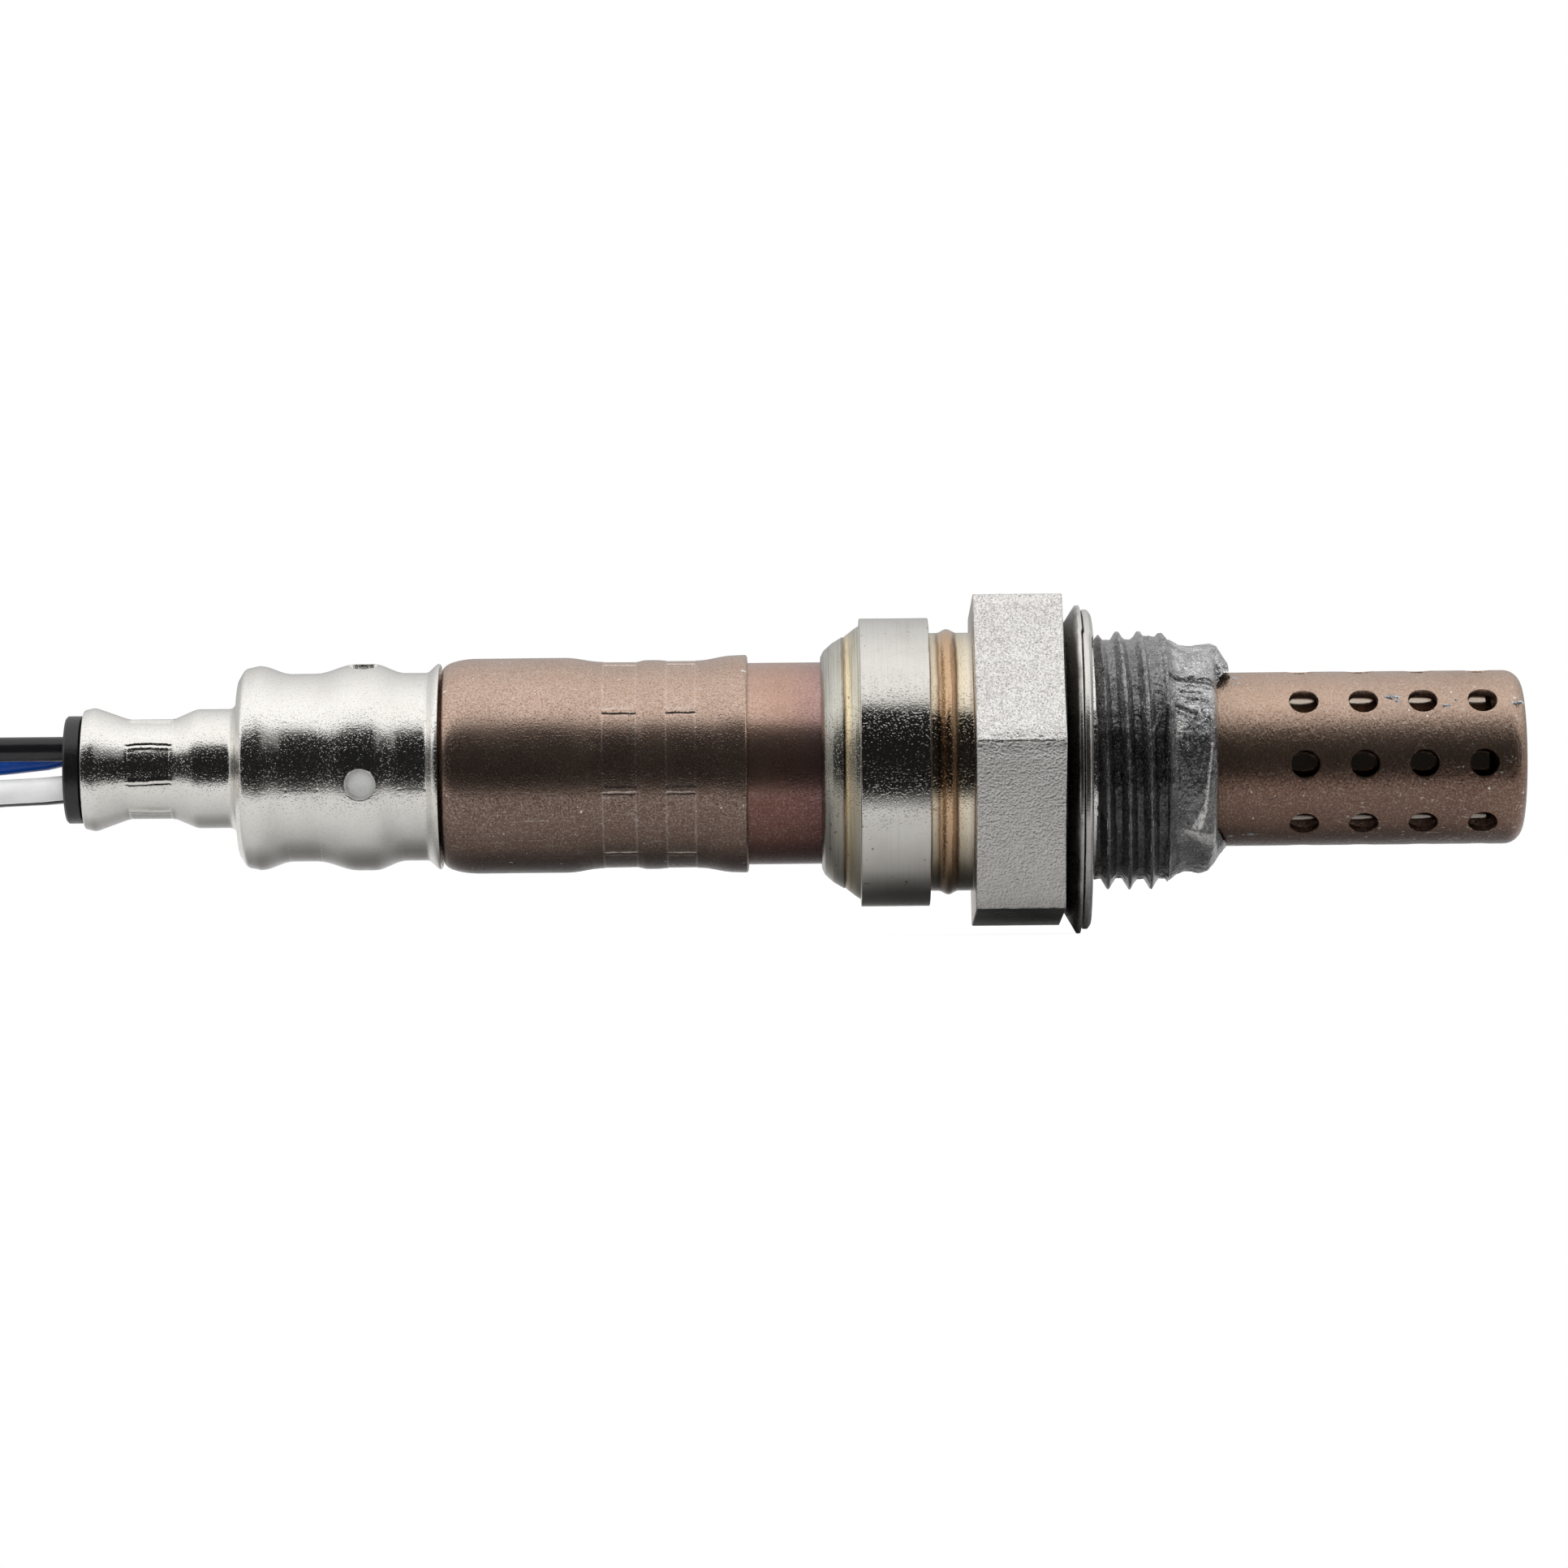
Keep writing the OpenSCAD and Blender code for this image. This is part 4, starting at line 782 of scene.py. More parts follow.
sleeve_line = sleeve_route()
verts, along, turn = tube(sleeve_line, SLEEVE_RADIUS, 36)
rows, cols = along.shape
faces = grid_faces(rows, cols).reshape(-1, 4).tolist()
faces += [list(range(cols)), list(range((rows - 1) * cols, rows * cols))[::-1]]
sleeve = piece(
    "woven_sleeve", verts.reshape(-1, 3), faces, SLEEVE,
    ("sleeve_run", "sleeve_hank", "sleeve_tail"), 60, {"along": along, "turn": turn},
)
band_outline = resampled(rounded([
    (-118, 0.02), (-118, 3.2, 0.45), (-114, 3.3, 3), (-108, 3.22, 0.3), (-108, 2.62, 0.15),
    (-109, 2.6, 0.1), (-109, 0.02)]), 0.4)
phi = angles(5)
band_x, band_r = band_outline[:, :1], band_outline[:, 1:] + 0 * phi
band_r = band_r + np.where(band_r > 3, 0.06 * noise(around(band_x, band_r, phi), 1.8, 5) - 0.05, 0)
band = turned("shrink_tube", band_x, band_r, phi, SHRINK, ("shrink_band",), lift=BAND_Z)
on_cord = [
    band,
    softened("hank_tie", TIE, 0.18),
    softened("connector_shell", SHELL, 0.22),
    softened("connector_cover", SHELL, 0.3),
    dressed("connector_seal", SEAL),
    dressed("connector_lock", LOCK),
]
on_cord += [dressed(f"socket_{index}", SOCKET) for index in range(1, 5)]

# Housing
PITCH = 1.5
CREST_R = 8.97
ROOT_R = 8.18
CREST_X = 1.68  # of a crest on top
CREST_HALF = 0.09
FLANK = 1.732  # slope of a sixty-degree thread
THREAD_START, THREAD_END = -0.1, 5.25
UNDERCUT_R = 8.2
COLLAR_R = 10.05
NECK_R = 9.0
BEAD_R = 9.26
NOSE_END = 8.38
LIP_X = -16.3
FLAT_R = 11
CORNER_TURN = 6.35
CORNER_ROUND = 0.25
HEX_START, HEX_END = -8.47, -2.285


def nose_r(x):
    return np.interp(x, [5.3, 7.6, 7.85, 8.05, 8.2, 8.3, NOSE_END], [7.8, 7.8, 7.71, 7.5, 7.2, 6.9, 6.6])


def crest_gap(x, phi):
    """How far a point is from the thread's crest line, along the axis."""
    crest = CREST_X - PITCH * (phi - 90) / 360
    return abs(((x - crest) / PITCH + 0.5) % 1 - 0.5) * PITCH


def thread_r(x, phi):
    """Thread that runs out at both ends, then the plain nose."""
    r = CREST_R - np.clip((crest_gap(x, phi) - CREST_HALF) * FLANK, 0, CREST_R - ROOT_R)
    r = np.minimum(r, UNDERCUT_R + np.maximum(x - THREAD_START, 0) * 1.2)
    r = np.minimum(r, 7.85 + np.maximum(5.3 - x, 0) * 0.9)
    return np.where(x > THREAD_END, nose_r(x), r)


def hexagon_r(phi):
    """Radius of the wrench hexagon with slightly rounded corners."""
    corner = turn_to(phi, CORNER_TURN) % 60
    gamma = np.radians(np.minimum(corner, 60 - corner))
    flat = FLAT_R / np.cos(np.radians(30) - gamma)
    middle = FLAT_R / cos(radians(30)) - CORNER_ROUND / cos(radians(30))
    lateral = middle * np.sin(gamma)
    bow = middle * np.cos(gamma) + np.sqrt(np.maximum(CORNER_ROUND**2 - lateral**2, 0))
    return np.where(lateral < CORNER_ROUND / 2, bow, flat)


def housing_rows(phi):
    """Rows of the housing from the lip over the hexagon and thread to the nose, and back in the bore."""
    rear = rounded([
        (-19.0, 7.13), (-19.0, 7.36, 0.15), (-18.8, 7.8, 0.5), (-18.2, 8.34, 0.8), (-17.46, 8.78, 0.3),
        (-17.38, 8.72, 0.05), (-17.28, 8.84, 0.1), (-16.62, 9.35, 0.12), (LIP_X, 9.55, 0.1),
        (LIP_X, COLLAR_R, 0.08), (-11.5, COLLAR_R, 0.08), (-11.5, NECK_R, 0.12), (-11.03, NECK_R)], 0.18)
    bead = cosine(-10.92, NECK_R, -10.2, BEAD_R) + cosine(-10.2, BEAD_R, -9.5, NECK_R)[1:]
    rear = resampled(np.vstack([rear, bead, [[-8.62, NECK_R], [-8.5, 9.06], [HEX_START, 9.2]]]), 0.5)
    rows = [(x, r + 0 * phi) for x, r in rear]
    # Each row of the hexagon: x, how far it lies inside the flats, radius of its turned chamfer
    ends = [(HEX_START, 0.14, 12.5), (-8.455, 0.07, 12.55), (-8.42, 0.02, 12.6), (-8.36, 0, 12.68)]
    ends += [(x, 0, 12.8) for x in np.arange(-8.28, -2.52, 0.16)]
    ends += [(-2.46, 0, 12.66), (-2.38, 0, 12.6), (-2.33, 0.02, 12.54)]
    ends += [(-2.3, 0.06, 12.5), (HEX_END, 0.14, 12.45)]
    for x, drop, chamfer_r in ends:
        rows.append((x, np.minimum(hexagon_r(phi) - drop, chamfer_r)))
    undercut = [(HEX_END, 10.6), (-2.15, 10.3), (-2.15, UNDERCUT_R), (THREAD_START, UNDERCUT_R)]
    thread = [(x, thread_r(x, phi)) for x in np.arange(-0.07, THREAD_END + 0.01, 0.06)]
    nose_x = (5.6, 6.2, 6.8, 7.4, 7.6, 7.75, 7.85, 7.95, 8.05, 8.13, 8.2, 8.26, 8.3, 8.34, NOSE_END)
    nose = [(x, nose_r(x)) for x in nose_x]
    bore = [
        (NOSE_END, 6.13), (7.75, 6.13), (7.75, 7.02), (6.9, 7.02), (6.9, 4.9), (-5.2, 4.9), (-5.2, 6.3),
        (-8.1, 6.3), (-8.1, 7.6), (-15.9, 7.6), (-15.9, 8.43), (LIP_X, 8.43), (-17.6, 7.13), (-18.9, 7.13)]
    rows += [(x, r + 0 * phi) for x, r in undercut + thread + nose + bore]
    return np.array([x + 0 * phi for x, _ in rows]), np.array([r for _, r in rows])


phi = angles(1.5, [(CORNER_TURN + 60 * k, (0, 0.25, 0.5, 0.75, 0.95, 1.1)) for k in range(6)])
hx, hr = housing_rows(phi)
hp = around(hx, hr, phi)
knocks = dents(11, -18.5, -2.3, 26, 0.03, 0.5)(hx, phi, hr)
knocks = knocks - 0.09 * hump(hx, -17.3, 0.5) * hump(turn_to(phi, 62), 0, 3.5)
hr = np.where((hx < -2.3) & (hr > 8.6), hr + np.minimum(knocks, 0.0), hr)
edge = smooth(12.35, 12.6, hr) * (hx > -8.5)
hr = hr - 0.05 * edge * (1 + noise(hp, 0.3, 12)) - 0.03 * edge * (1 + noise(hp, 1.1, 14))
turned("housing_body", hx, hr, phi, HOUSING, ("housing",), 32)

# Gasket: folded sheet, squeezed more at the front than behind, and hanging a little
GASKET_DROP = 0.6
GASKET_BACK = -2.13
GASKET_THICK = 2.11
gasket_outline = resampled(rounded([
    (-1.2, 11.42), (-1.13, 11.46, 0.05), (-0.86, 11.45, 0.08), (-0.86, 10.96, 0.02), (-1.6, 10.3, 0.1),
    (-1.7, 9.92, 0.1), (-0.76, 9.92, 0.02), (-0.74, 11.14, 0.1), (-0.3, 11.16, 0.22), (-0.02, 10.8, 0.2),
    (-0.02, 9.85, 0.15), (-0.35, 9.66, 0.1), (-0.7, 8.82, 0.1), (-1.8, 8.82, 0.2), (GASKET_BACK, 9.2, 0.15),
    (GASKET_BACK, 10.05, 0.2), (-1.2, 11.42)]), 0.25)[:-1]
phi = angles(1.5)
gx, ga = np.broadcast_arrays(gasket_outline[:, :1], phi)
gr = np.broadcast_to(gasket_outline[:, 1:], gx.shape)
gp = around(gx, gr, ga)
nicks = np.minimum(noise(gp, 0.9, 31) + 0.25, 0) * within(gr, 10.5, 12, 0.2)
nicks = nicks + np.minimum(noise(gp, 0.5, 33) + 0.1, 0) * within(turn_to(ga, -50), -32, 24, 8) * (gr > 10.6)
gr = np.where(gr > 9.5, gr + 0.025 * noise(gp, 4, 30) + 0.1 * nicks - 0.01, gr)
cosines, sines = np.cos(np.radians(ga)), np.sin(np.radians(ga))
squeeze = 1 - (0.39 * (1 + cosines) / 2 + 0.06 * (1 - sines)) / GASKET_THICK * 0.9
squeeze = np.where(sines > 0.85, np.maximum(squeeze, 0.93), squeeze)
gx = GASKET_BACK + (gx - GASKET_BACK) * squeeze
turned("gasket_ring", gx, gr, ga, GASKET, ("gasket",), 30, -GASKET_DROP)

# Upper case
SHEET = 0.4
CASE_R = 7.5
BAND_PADS = ((-34.1, -31.8), (-29.7, -27.7))
BAND_TURN = 31
CASE_FRONT = -24.1
SHOULDER_X = -45.3
REAR_TUBE_R = 5.6
quarter = np.radians(np.arange(0, 91, 7.5))
shoulder = [[SHOULDER_X + 2.4 * (1 - cos(a)), CASE_R - 0.8 * (1 - sin(a))] for a in quarter]
upper_path = np.array(
    [[-58.7, REAR_TUBE_R], [-45.5, REAR_TUBE_R], [-45.36, 5.66], [SHOULDER_X, 5.85]] + shoulder
    + cosine(-36.8, CASE_R, -34.1, 7.2) + cosine(-31.8, 7.18, -31.15, 7.29)
    + cosine(-30.35, 7.29, -29.7, 7.24) + cosine(-27.6, 7.24, -25.0, 7.57, 10) + [[CASE_FRONT, 7.6]])
pad_lines = [x + d for pad in BAND_PADS for x in pad for d in (-0.1, -0.05, 0, 0.05, 0.1)]
upper_path = resampled(upper_path, 0.16, pad_lines)
upper_path = upper_path[(upper_path[:, 0] > -46) | (np.arange(len(upper_path)) % 6 == 0)]
for inset in (0.03, 0.08, 0.14):
    upper_path = np.vstack([upper_path[:-1], [[CASE_FRONT - inset, 7.6]], upper_path[-1:]])
upper_path = upper_path[np.argsort(upper_path[:, 0], kind="stable")]
upper_dents = dents(3, -44, -25, 8, 0.004, 0.5)


def band_seam(x, phi, r):
    """Distance along the surface from the middle of the nearest ridge, and the side of it."""
    off = turn_to(phi, BAND_TURN) % 45
    wave = 0.02 * np.sin(5 * x + 2 * phi)
    return np.minimum(off, 45 - off) * pi / 180 * r + wave, np.where(off < 22.5, 1.0, -1.0)


def upper_relief(x, phi, r):
    """Two bands of eight pressed pads with narrow ridges between them."""
    change = upper_dents(x, phi, r)
    seam, side = band_seam(x, phi, r)
    for x0, x1 in BAND_PADS:
        inside = within(x, x0 - 0.02, x1 + 0.02, 0.05)
        change = change - 0.03 * inside * smooth(0.15, 0.25, seam)
        change = change + 0.015 * inside * (1 - smooth(0.13, 0.23, seam))
        change = change - 0.02 * inside * hump(seam, 0.27, 0.05) * (side < 0)
    return change


def upper_worn(x, phi, r):
    """Rubbed edges of the pads, where the brown surface is bright."""
    seam, _ = band_seam(x, phi, r)
    beyond = smooth(0.1, 0.2, seam)
    mark = 0 * x
    for x0, x1 in BAND_PADS:
        inside = within(x, x0, x1, 0.04)
        rub = inside * np.exp(-np.maximum(seam - 0.2, 0) / 0.45) * beyond
        marks = [inside * hump(seam, 0.17, 0.045), 0.16 * rub]
        marks += [0.36 * hump(x, edge_x, 0.07) * beyond for edge_x in (x0, x1)]
        mark = np.maximum.reduce([mark, *marks])
    return mark


seam_steps = (0, 0.5, 0.9, 1.15, 1.4, 1.65, 1.9, 2.15, 2.4, 2.8, 3.3, 4.2, 5.4)
phi = angles(1.8, [(BAND_TURN + 45 * k, seam_steps) for k in range(8)])
drawn(
    "upper_case_tube", upper_path, SHEET, phi, UPPER, ("upper_case",), upper_relief,
    worn=upper_worn,
)

# Filter cover
VENT_X, VENT_TURN, VENT_R = -50.8, -10, 1.08
VENT_LEVEL = 7.18  # radius of the sheet at the vents
BULGE_R, GROOVE_R = 7.2, 6.55
WAIST_PAD = (-67.1, -64.25)
WAIST_TURN, GROOVE_TURN = 29, 29.5
GROOVE_PADS = ((-55.95, -53.75), (-48.1, -46.3))
PAD_ENDS = [*WAIST_PAD, *GROOVE_PADS[0], *GROOVE_PADS[1]]
cover_path = rounded(
    [(-70.38, 3.85), (-70.34, 4.12, 0.12), (-69.6, 4.32, 0.8), (-67.3, 3.5, 0.6), (-64.0, 3.5, 0.5),
     (-62.5, 4.15, 1.2), (-60.0, 4.15, 0.5), (-59.68, 4.6, 0.2), (-59.5, 6.17, 0.2), (-59.05, 6.92, 0.5)]
    + cosine(-58.1, 7.12, -55.85, GROOVE_R) + cosine(-54.2, GROOVE_R, -51.3, BULGE_R)
    + cosine(-50.2, BULGE_R, -47.95, GROOVE_R) + cosine(-46.5, GROOVE_R, -45.5, BULGE_R)
    + [(-45.45, BULGE_R)])
cover_lines = [VENT_X + d for d in hole_lines(VENT_R)]
cover_lines += [x + d for x in PAD_ENDS for d in (-0.07, -0.035, 0, 0.035, 0.07)]
cover_path = resampled(cover_path, 0.24, cover_lines)
cover_dents = dents(8, -70, -45.5, 30, 0.01, 0.45)


def waist_seam(x, phi, r):
    """Signed distance along the surface from the nearest wandering seam of the waist."""
    off = turn_to(phi, WAIST_TURN)
    index = np.round(off / 45)
    wave = 0.05 * np.sin(1.6 * x + 2.0 * index) + 0.02 * np.sin(6.5 * x + index)
    return (off - 45 * index) * pi / 180 * r - wave


def groove_seam(phi, r):
    """Distance along the surface from the nearest seam of the grooves."""
    off = turn_to(phi, GROOVE_TURN) % 45
    return np.minimum(off, 45 - off) * pi / 180 * r


def cover_relief(x, phi, r):
    """Crimped waist with creased seams, and faint pad edges in both grooves."""
    change = cover_dents(x, phi, r)
    seam = waist_seam(x, phi, r)
    creases = 0.03 * hump(seam, 0.12, 0.12) - 0.035 * hump(seam, -0.08, 0.08)
    creases = creases - 0.012 * hump(seam, -0.42, 0.06)
    change = change + within(x, -67.2, -64.1, 0.15) * creases
    change = change - 0.03 * within(x, *WAIST_PAD, 0.03) * smooth(0.28, 0.4, abs(seam))
    for edge_x in PAD_ENDS:
        deep = 0.03 if edge_x in WAIST_PAD else 0.008
        change = change - deep * hump(x, edge_x, 0.045)
    seam = groove_seam(phi, r)
    for pad in GROOVE_PADS:
        change = change - 0.003 * within(x, *pad, 0.03) * smooth(0.1, 0.3, seam)
        for edge_x in pad:
            change = change - 0.02 * hump(x, edge_x, 0.08) * hump(seam, 0.2, 0.07)
    return change


def cover_worn(x, phi, r):
    """Bright rubbed lines at the ends of the crimped pads."""
    mark = 0 * x
    for edge_x in PAD_ENDS:
        mark = np.maximum(mark, (1.0 if edge_x in WAIST_PAD else 0.5) * hump(x, edge_x, 0.045))
    return mark


def in_degrees(offsets, radius):
    """Offsets along a surface of that radius as angles."""
    return [degrees(d / radius) for d in offsets]


phi = angles(2.4, [(WAIST_TURN + 45 * k, (0, 0.7, 1.4, 2.1, 2.8, 3.5, 4.2, 5.0, 6.0)) for k in range(8)]
             + [(VENT_TURN + 90 * k, in_degrees(hole_lines(VENT_R), VENT_LEVEL)) for k in range(4)])
drawn(
    "filter_cover_sheet", cover_path, SHEET, phi, COVER, ("filter_cover",), cover_relief,
    [(VENT_X, VENT_TURN + 90 * k, VENT_R) for k in range(4)], rim=0.05, worn=cover_worn,
)

# Outer protector
TUBE_R = 6.05
TUBE_WALL = 0.5
TIP_ROUND = 1.25
GAS_R = 1.0
GAS_TURN = -4
GAS_PITCH = 4.12
GAS_X = [TIP_X - 3.05 - GAS_PITCH * k for k in range(4)]
quarter = np.radians(np.arange(0, 91, 9))
tip = [[TIP_X - TIP_ROUND * (1 - sin(a)), TUBE_R - TIP_ROUND * (1 - cos(a))] for a in quarter]
outer_path = np.array([[7.73, 7.0], [7.75, 6.4], [7.8, 6.12], [7.95, TUBE_R]] + tip + [[TIP_X + 0.002, 0.02]])
outer_path = resampled(outer_path, 0.5, [x + d for x in GAS_X for d in hole_lines(GAS_R)])
outer_dents = dents(21, 9.5, 29, 20, 0.006, 0.5)


def outer_relief(x, phi, r):
    p = around(x, r, phi)
    wrinkle = 0.006 * noise(p, 0.8, 40, 3) + 0.004 * noise(p * np.array([2.2, 0.5, 0.5]), 0.45, 43, 2)
    return (outer_dents(x, phi, r) + wrinkle) * smooth(0.3, 2.5, r)


phi = angles(3.0, [(GAS_TURN + 45 * k, in_degrees(hole_lines(GAS_R), TUBE_R)) for k in range(8)])
drawn(
    "protector_tube", outer_path, TUBE_WALL, phi, OUTER, ("outer_protector",),
    outer_relief, [(x, GAS_TURN + 45 * k, GAS_R) for x in GAS_X for k in range(8)], rim=0.06, closed=True,
)

# Thread paste: each stroke is x0, angle0, x1, angle1, depth, half-width; a negative depth is a ridge
STROKES = [
    (5.1, 43.6, 6.6, 43.2, 0.42, 0.15), (6.6, 43.2, 8.35, 41.6, 0.42, 0.2),
    (5.45, 27, 6.75, 23.2, 0.36, 0.12), (5.7, 36, 7.0, 35, 0.16, 0.1), (6.2, 33, 7.6, 31, -0.12, 0.1),
    (4.4, 22.5, 3.85, 13, -0.15, 0.1), (3.85, 13, 3.9, 4, -0.12, 0.1), (4.7, -4, 4.95, -72, 0.12, 0.07),
    (4.75, 24, 4.6, 8, 0.2, 0.11), (5.9, 25, 5.7, 12, -0.1, 0.13), (1.2, 16, 1.9, 14, -0.14, 0.08),
    (2.9, 24, 3.3, 17, -0.12, 0.13), (7.82, 7, 7.3, -27, -0.08, 0.1), (7.3, -27, 7.0, -36, -0.1, 0.22),
    (6.4, -40, 7.6, -44, -0.06, 0.3), (6.2, -60, 8.2, -52, 0.08, 0.2), (6.0, 120, 8.2, 132, 0.15, 0.2),
    (6.4, 205, 8.2, 196, 0.15, 0.2), (5.8, 262, 8.0, 270, 0.15, 0.2),
]
# Each wiped place: its stroke, its width at the end and how clean it is
WIPES = [
    (7.85, 8, 7.3, -27, 0.16, 1), (7.3, -24, 6.95, -36, 0.34, 1), (6.2, -39, 7.6, -45, 0.55, 0.6),
    (5.75, 26, 5.6, 12, 0.25, 0.8), (8.12, 4, 8.14, -48, 0.12, 0.5),
]
ARC = 0.14  # mm along the paste's surface for a degree
px, pa = np.meshgrid(np.arange(-0.09, 9.84, 0.065), np.arange(0, 360, 0.8), indexing="ij")
pp = around(px, 8.0 + 0 * px, pa)
sine, cosines = np.sin(np.radians(pa)), np.cos(np.radians(pa))
high, low = smooth(0.8, 0.97, sine), smooth(0.75, 0.98, -sine)
gap = crest_gap(px, pa)


def paste_on_thread(up, down):
    """Thick paste that fills the valleys on top, thin paste that follows the thread below."""
    soft_up = 8.82 - np.clip((gap - 0.11) * 1.15, 0, 0.46)
    soft_up = np.where((px > 3.15) & (px < 4.75), np.maximum(soft_up, 8.62), soft_up)
    soft_down = 9.02 - np.clip((gap - 0.03) * 1.5, 0, 0.76)
    soft = up * soft_up + (1 - up) * soft_down
    return np.minimum(soft, 8.05 + 0.3 * down + np.maximum(px - THREAD_START, 0) * 0.75)


def paste_on_nose():
    """The paste's outline over the nose, as it is on top, at the front and below."""
    above = np.interp(
        px, [4.8, 5.0, 5.5, 6.0, 6.85, 7.45, 8.15, 8.6, 8.88, 9.17, 9.35, 9.42, 9.6],
        [9.5, 8.6, 8.27, 8.0, 7.93, 8.0, 8.07, 7.88, 7.45, 7.0, 6.75, 6.1, 6.05])
    front = np.interp(
        px, [4.8, 5.0, 5.5, 6.2, 7.5, 7.8, 8.0, 8.15, 8.28, 8.36, 8.42, 9.6],
        [9.5, 8.5, 8.05, 7.88, 7.92, 7.86, 7.72, 7.5, 7.1, 6.6, 6.1, 6.05])
    under = np.interp(
        px, [4.8, 5.1, 5.7, 6.27, 7.43, 7.86, 8.3, 8.66, 9.0, 9.17, 9.25],
        [9.5, 8.43, 8.03, 7.78, 7.91, 7.78, 7.3, 6.72, 6.3, 6.15, 6.05])
    return high * above + low * under + (1 - high - low) * front


def from_stroke(x0, turn0, x1, turn1):
    """For each point of the paste, the share of the stroke that it lies beside, and its distance."""
    u, v = px - x0, turn_to(pa, turn0) * ARC
    du, dv = x1 - x0, (turn1 - turn0) * ARC
    t = np.clip((u * du + v * dv) / (du * du + dv * dv), 0, 1)
    return t, np.hypot(u - t * du, v - t * dv)


def smear(x0, turn0, x1, turn1, wide):
    """A wiped place that widens along a stroke and has ragged sides."""
    t, far = from_stroke(x0, turn0, x1, turn1)
    return 1 - smooth(0.6, 1.3, far / (wide * (0.35 + 0.65 * t)) + 0.5 * noise(pp, 0.5, 61))


up = smooth(0.2, 0.85, sine)
pr = np.minimum(paste_on_thread(up, smooth(0.1, 0.8, -sine)), paste_on_nose())
arc = np.radians(turn_to(pa, 0)) * 8
comb = noise(np.stack([px, 0.07 * arc, 0 * px], -1), 0.3, 54, 2) * within(px, -1, 5.2, 0.4)
grain = 0.05 * noise(pp, 1.9, 50) + 0.06 * noise(pp, 0.6, 51) + 0.05 * noise(pp, 0.24, 52)
pr = pr + (grain + 0.07 * comb) * smooth(6.1, 6.6, pr)
wiped_and_painted_shade = np.maximum.reduce([clean * smear(*wipe) for *wipe, clean in WIPES])
for *ends, deep, wide in STROKES:
    _, far = from_stroke(*ends)
    pr = pr - deep * np.exp(-((far / wide) ** 3))
    if deep > 0.15:
        pr = pr + 0.25 * deep * hump(far, 2.0 * wide, 0.7 * wide)
    # Deep cuts get painted shade, as a negative value.
    if deep > 0.18:
        wiped_and_painted_shade = wiped_and_painted_shade - np.exp(-((far / (0.62 * wide)) ** 3))
pr = np.maximum(pr, np.where(px > NOSE_END, TUBE_R + 0.005, thread_r(px, pa)) + 0.012)
# Painted shade in the thread's valleys, less on top, as a negative value.
valley = smooth(0.18, 0.55, gap) * (1 - smooth(4.7, 5.1, px)) * (1 - 0.65 * up)
wiped_and_painted_shade = np.clip(wiped_and_painted_shade - 0.5 * valley, -1, 1)
start = 0.05 + 0.16 * noise(pp, 0.9, 70, 3) - 0.15 * (1 + cosines) / 2
finish = high * 9.5 + low * 9.12 + (1 - high - low) * 8.44
finish = finish + (0.03 + 0.25 * high + 0.12 * low) * noise(pp, 1.0, 71, 3)
shown = (px > start) & (px < finish)
keep = shown[:-1] & shown[1:] & np.roll(shown, -1, 1)[:-1] & np.roll(shown, -1, 1)[1:]
verts = list(around(px, pr, pa).reshape(-1, 3))
faces = grid_faces(*px.shape)[keep].tolist()

# Specks of paste on the protector: x, angle, size
SPECKS = [
    (20.45, 44, 0.42), (20.9, 40, 0.22), (24.2, 36, 0.3), (24.9, 41, 0.2), (29.2, 38, 0.3),
    (12.0, -28, 0.14), (9.75, 68, 0.28), (9.9, 60, 0.2), (10.6, 20, 0.1), (10.9, -10, 0.08),
    (11.4, 52, 0.12), (9.3, -62, 0.25), (10.7, 100, 0.3), (12.6, 160, 0.3), (10.5, 210, 0.4),
    (18.0, 200, 0.25), (10.8, 300, 0.3), (26.4, 130, 0.2),
]
SPECK_SIDES = 12
side = np.tile(np.arange(SPECK_SIDES) * 2 * pi / SPECK_SIDES, 3)
share = np.repeat([0.45, 0.8, 1.0], SPECK_SIDES)
rng = np.random.default_rng(77)
for speck_x, speck_turn, size in SPECKS:
    base = len(verts)
    away = size * share * np.tile(1 + 0.3 * rng.uniform(-1, 1, SPECK_SIDES), 3)
    level = TUBE_R + 0.3 * size * (1 - share**2) - 0.02
    turn = speck_turn + np.degrees(0.6 * away * np.sin(side) / TUBE_R)
    verts.append(around(speck_x, TUBE_R + 0.3 * size, speck_turn))
    verts += list(around(speck_x + 1.5 * away * np.cos(side), level, turn))
    for k in range(SPECK_SIDES):
        a, b = base + 1 + k, base + 1 + (k + 1) % SPECK_SIDES
        faces.append([base, b, a])
        for ring in (0, SPECK_SIDES):
            faces.append([a + ring, b + ring, b + ring + SPECK_SIDES, a + ring + SPECK_SIDES])
wiped_and_painted_shade = np.concatenate([wiped_and_painted_shade.ravel(), np.zeros(len(verts) - wiped_and_painted_shade.size)])
piece("antiseize_paste", np.array(verts), faces, PASTE, (), 80, {"wiped_and_painted_shade": wiped_and_painted_shade})

# CAD nodes that stay
for mat, slot, nodes in (
    (INNER, "protector_steel", "inner_protector"), (LOWER, "lower_case_steel", "lower_case"),
    (FILTER, "filter_white", "vent_filter"), (GROMMET, "grommet_rubber", "grommet"),
    (TALC, "talc", "powder_seal"),
    (CERAMIC, "ceramic", "sensing_element insulating_ring heater_rod terminal_insulator"),
    (SPRING, "inner_metal", "packing_washer clamping_ring disc_spring outer_contact inner_contact"),
    (SPRING, "inner_metal", "heater_contact_1 heater_contact_2")):
    for node in nodes.split():
        dressed(node, mat)


# Floor and light
def floor_look(g):
    """Pale table: white to the camera, and it keeps the shadow."""
    pale = g.add("BsdfDiffuse", (0.76, 0.76, 0.76))
    glow = g.add("Emission", (1, 1, 1), 1.3)
    return g.add("MixShader", g.add("LightPath") * 0.74, pale, glow)


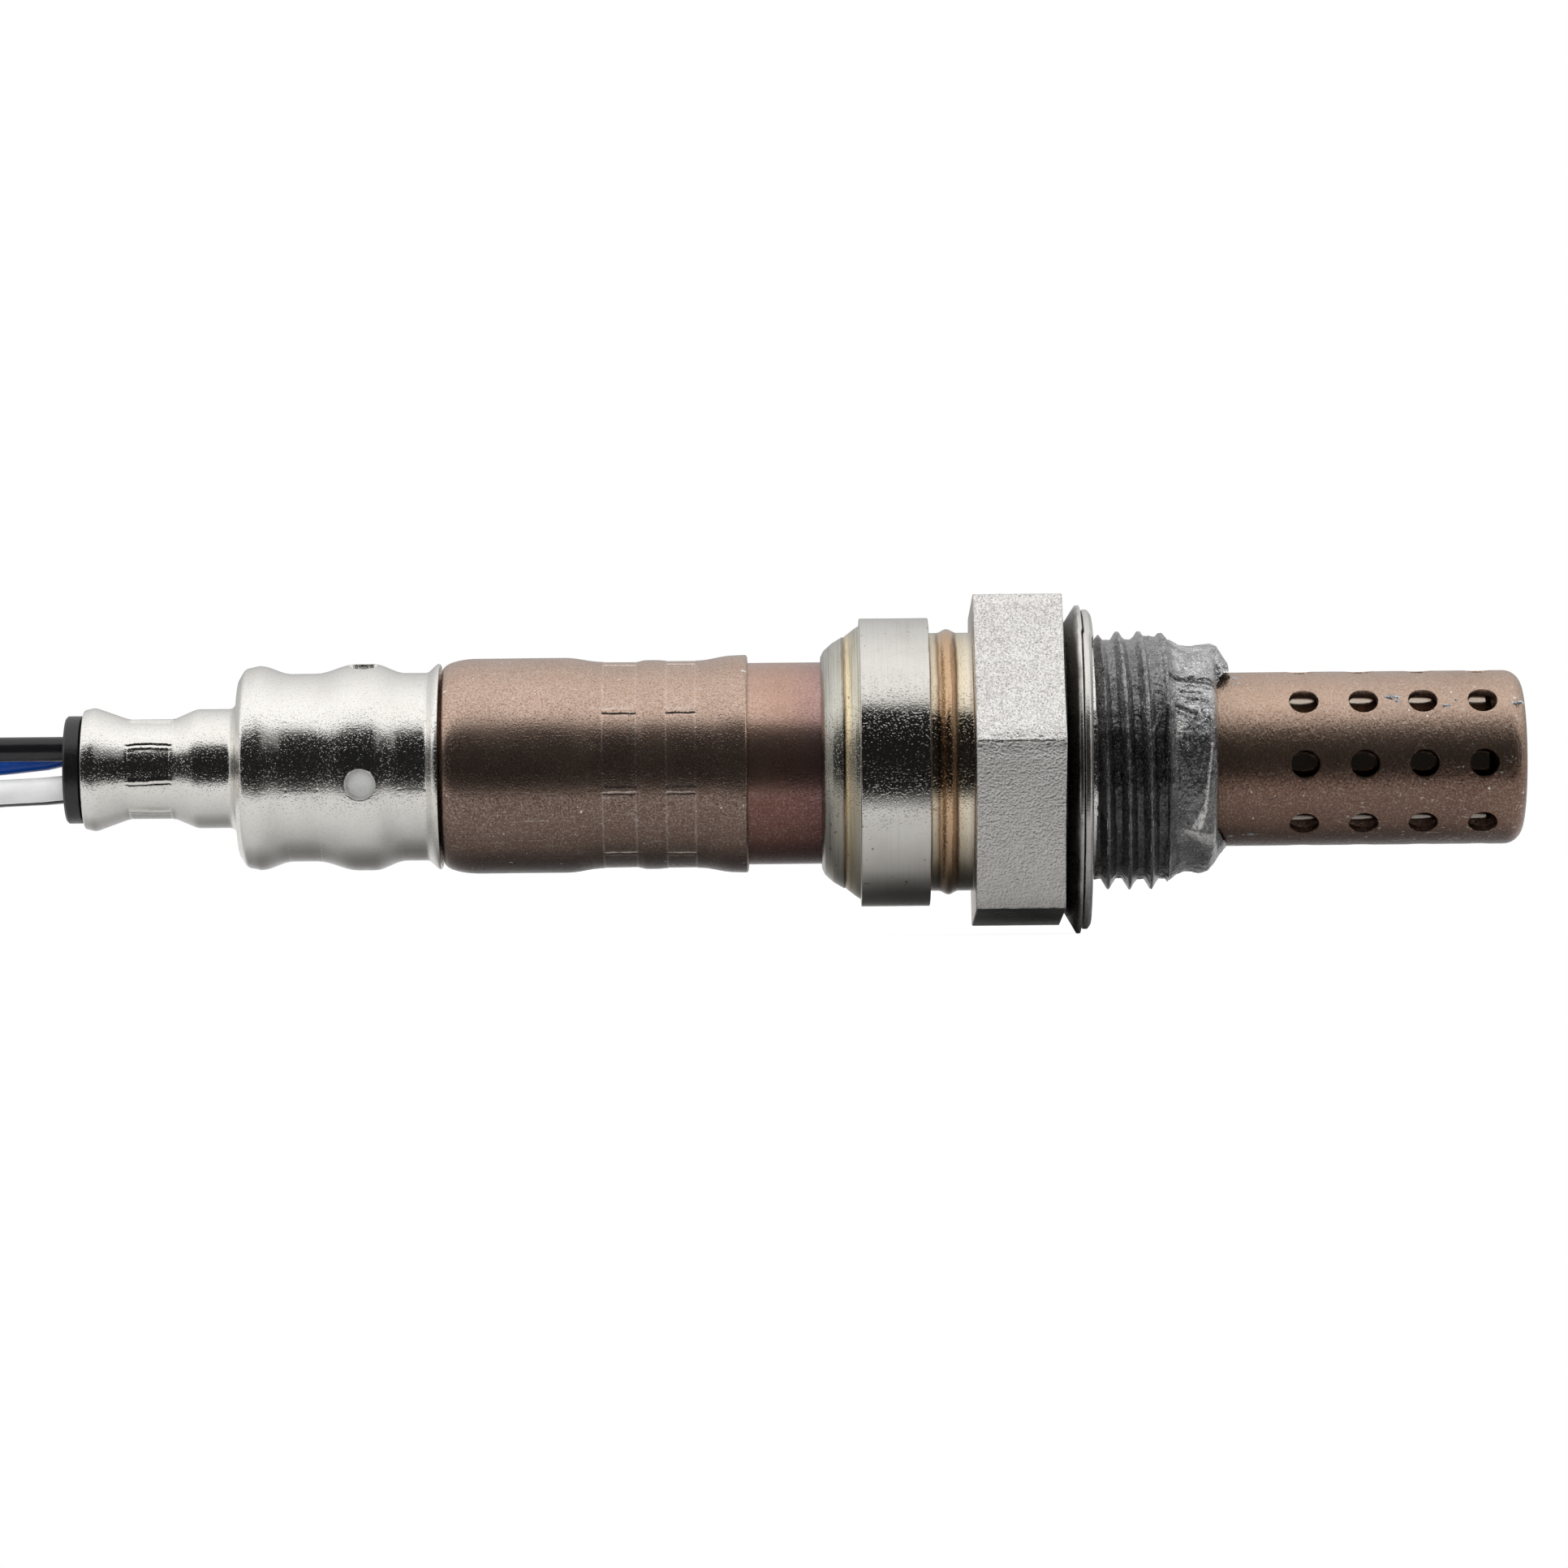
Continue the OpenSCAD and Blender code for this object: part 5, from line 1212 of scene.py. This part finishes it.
floor_mesh = bpy.data.meshes.new("table")
corners = ((-0.45, -0.022), (0.3, -0.022), (0.3, 0.4), (-0.45, 0.4))
floor_mesh.from_pydata([(x, y, FLOOR_Z * MM) for x, y in corners], [], [(0, 1, 2, 3)])
floor_mesh.materials.append(material("pale table", floor_look))
table = bpy.data.objects.new("table", floor_mesh)
scene.collection.objects.link(table)
table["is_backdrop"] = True

# Brightness of the studio at each angle above the front
STUDIO = [
    (-180, 0.45), (-172, 0.12), (-150, 0.06), (-128, 0.11), (-105, 0.32), (-80, 0.5), (-50, 0.45),
    (-31, 0.38), (-26, 0.012), (44, 0.012), (49, 0.95), (60, 1.14), (82, 1.15), (95, 1.08),
    (108, 1.0), (128, 0.84), (155, 0.64), (180, 0.4)]


def studio(g):
    """Bright above and below with a dark band in front, grey at both ends, and a small lamp at the right."""
    direction = g.add("TexCoord", out=0)
    x, y, z = g.parts(direction)
    height = g.math("ARCTAN2", z, y * -1.0) * (180 / pi)
    bands = g.ramp(g.span(height, -180, 180), [((e + 180) / 360, (v, v, v)) for e, v in STUDIO])
    bands = g.mix(g.span(g.math("ABSOLUTE", x), 0.93, 0.99), bands, (0.45, 0.45, 0.45))
    spot = g.add("VectorMath", direction, (0.51, -0.69, 0.51), operation="DOT_PRODUCT", out=1)
    bands = g.mix(g.span(spot, 0.984, 0.998), bands, (0.35, 0.35, 0.35))
    lit, white = g.add("Background", bands, 1.0), g.add("Background", (1, 1, 1), 1.0)
    g.add("OutputWorld", g.add("MixShader", g.add("LightPath"), lit, white))


world = bpy.data.worlds.new("studio")
world.use_nodes = True
scene.world = world
studio(Graph(world.node_tree))
for label, place, aim, size, power in (
        ("top softbox", (-0.05, -0.25, 0.75), (18, 0, 0), 0.6, 1.5),
        ("front fill", (-0.08, -0.8, 0.1), (82, 0, 0), 0.7, 3.0)):
    lamp = bpy.data.lights.new(label, "AREA")
    lamp.size = size
    lamp.energy = power
    light = bpy.data.objects.new(label, lamp)
    light.location = place
    light.rotation_euler = [radians(v) for v in aim]
    light.visible_glossy = False
    scene.collection.objects.link(light)

scene.view_settings.view_transform = "Standard"

low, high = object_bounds()
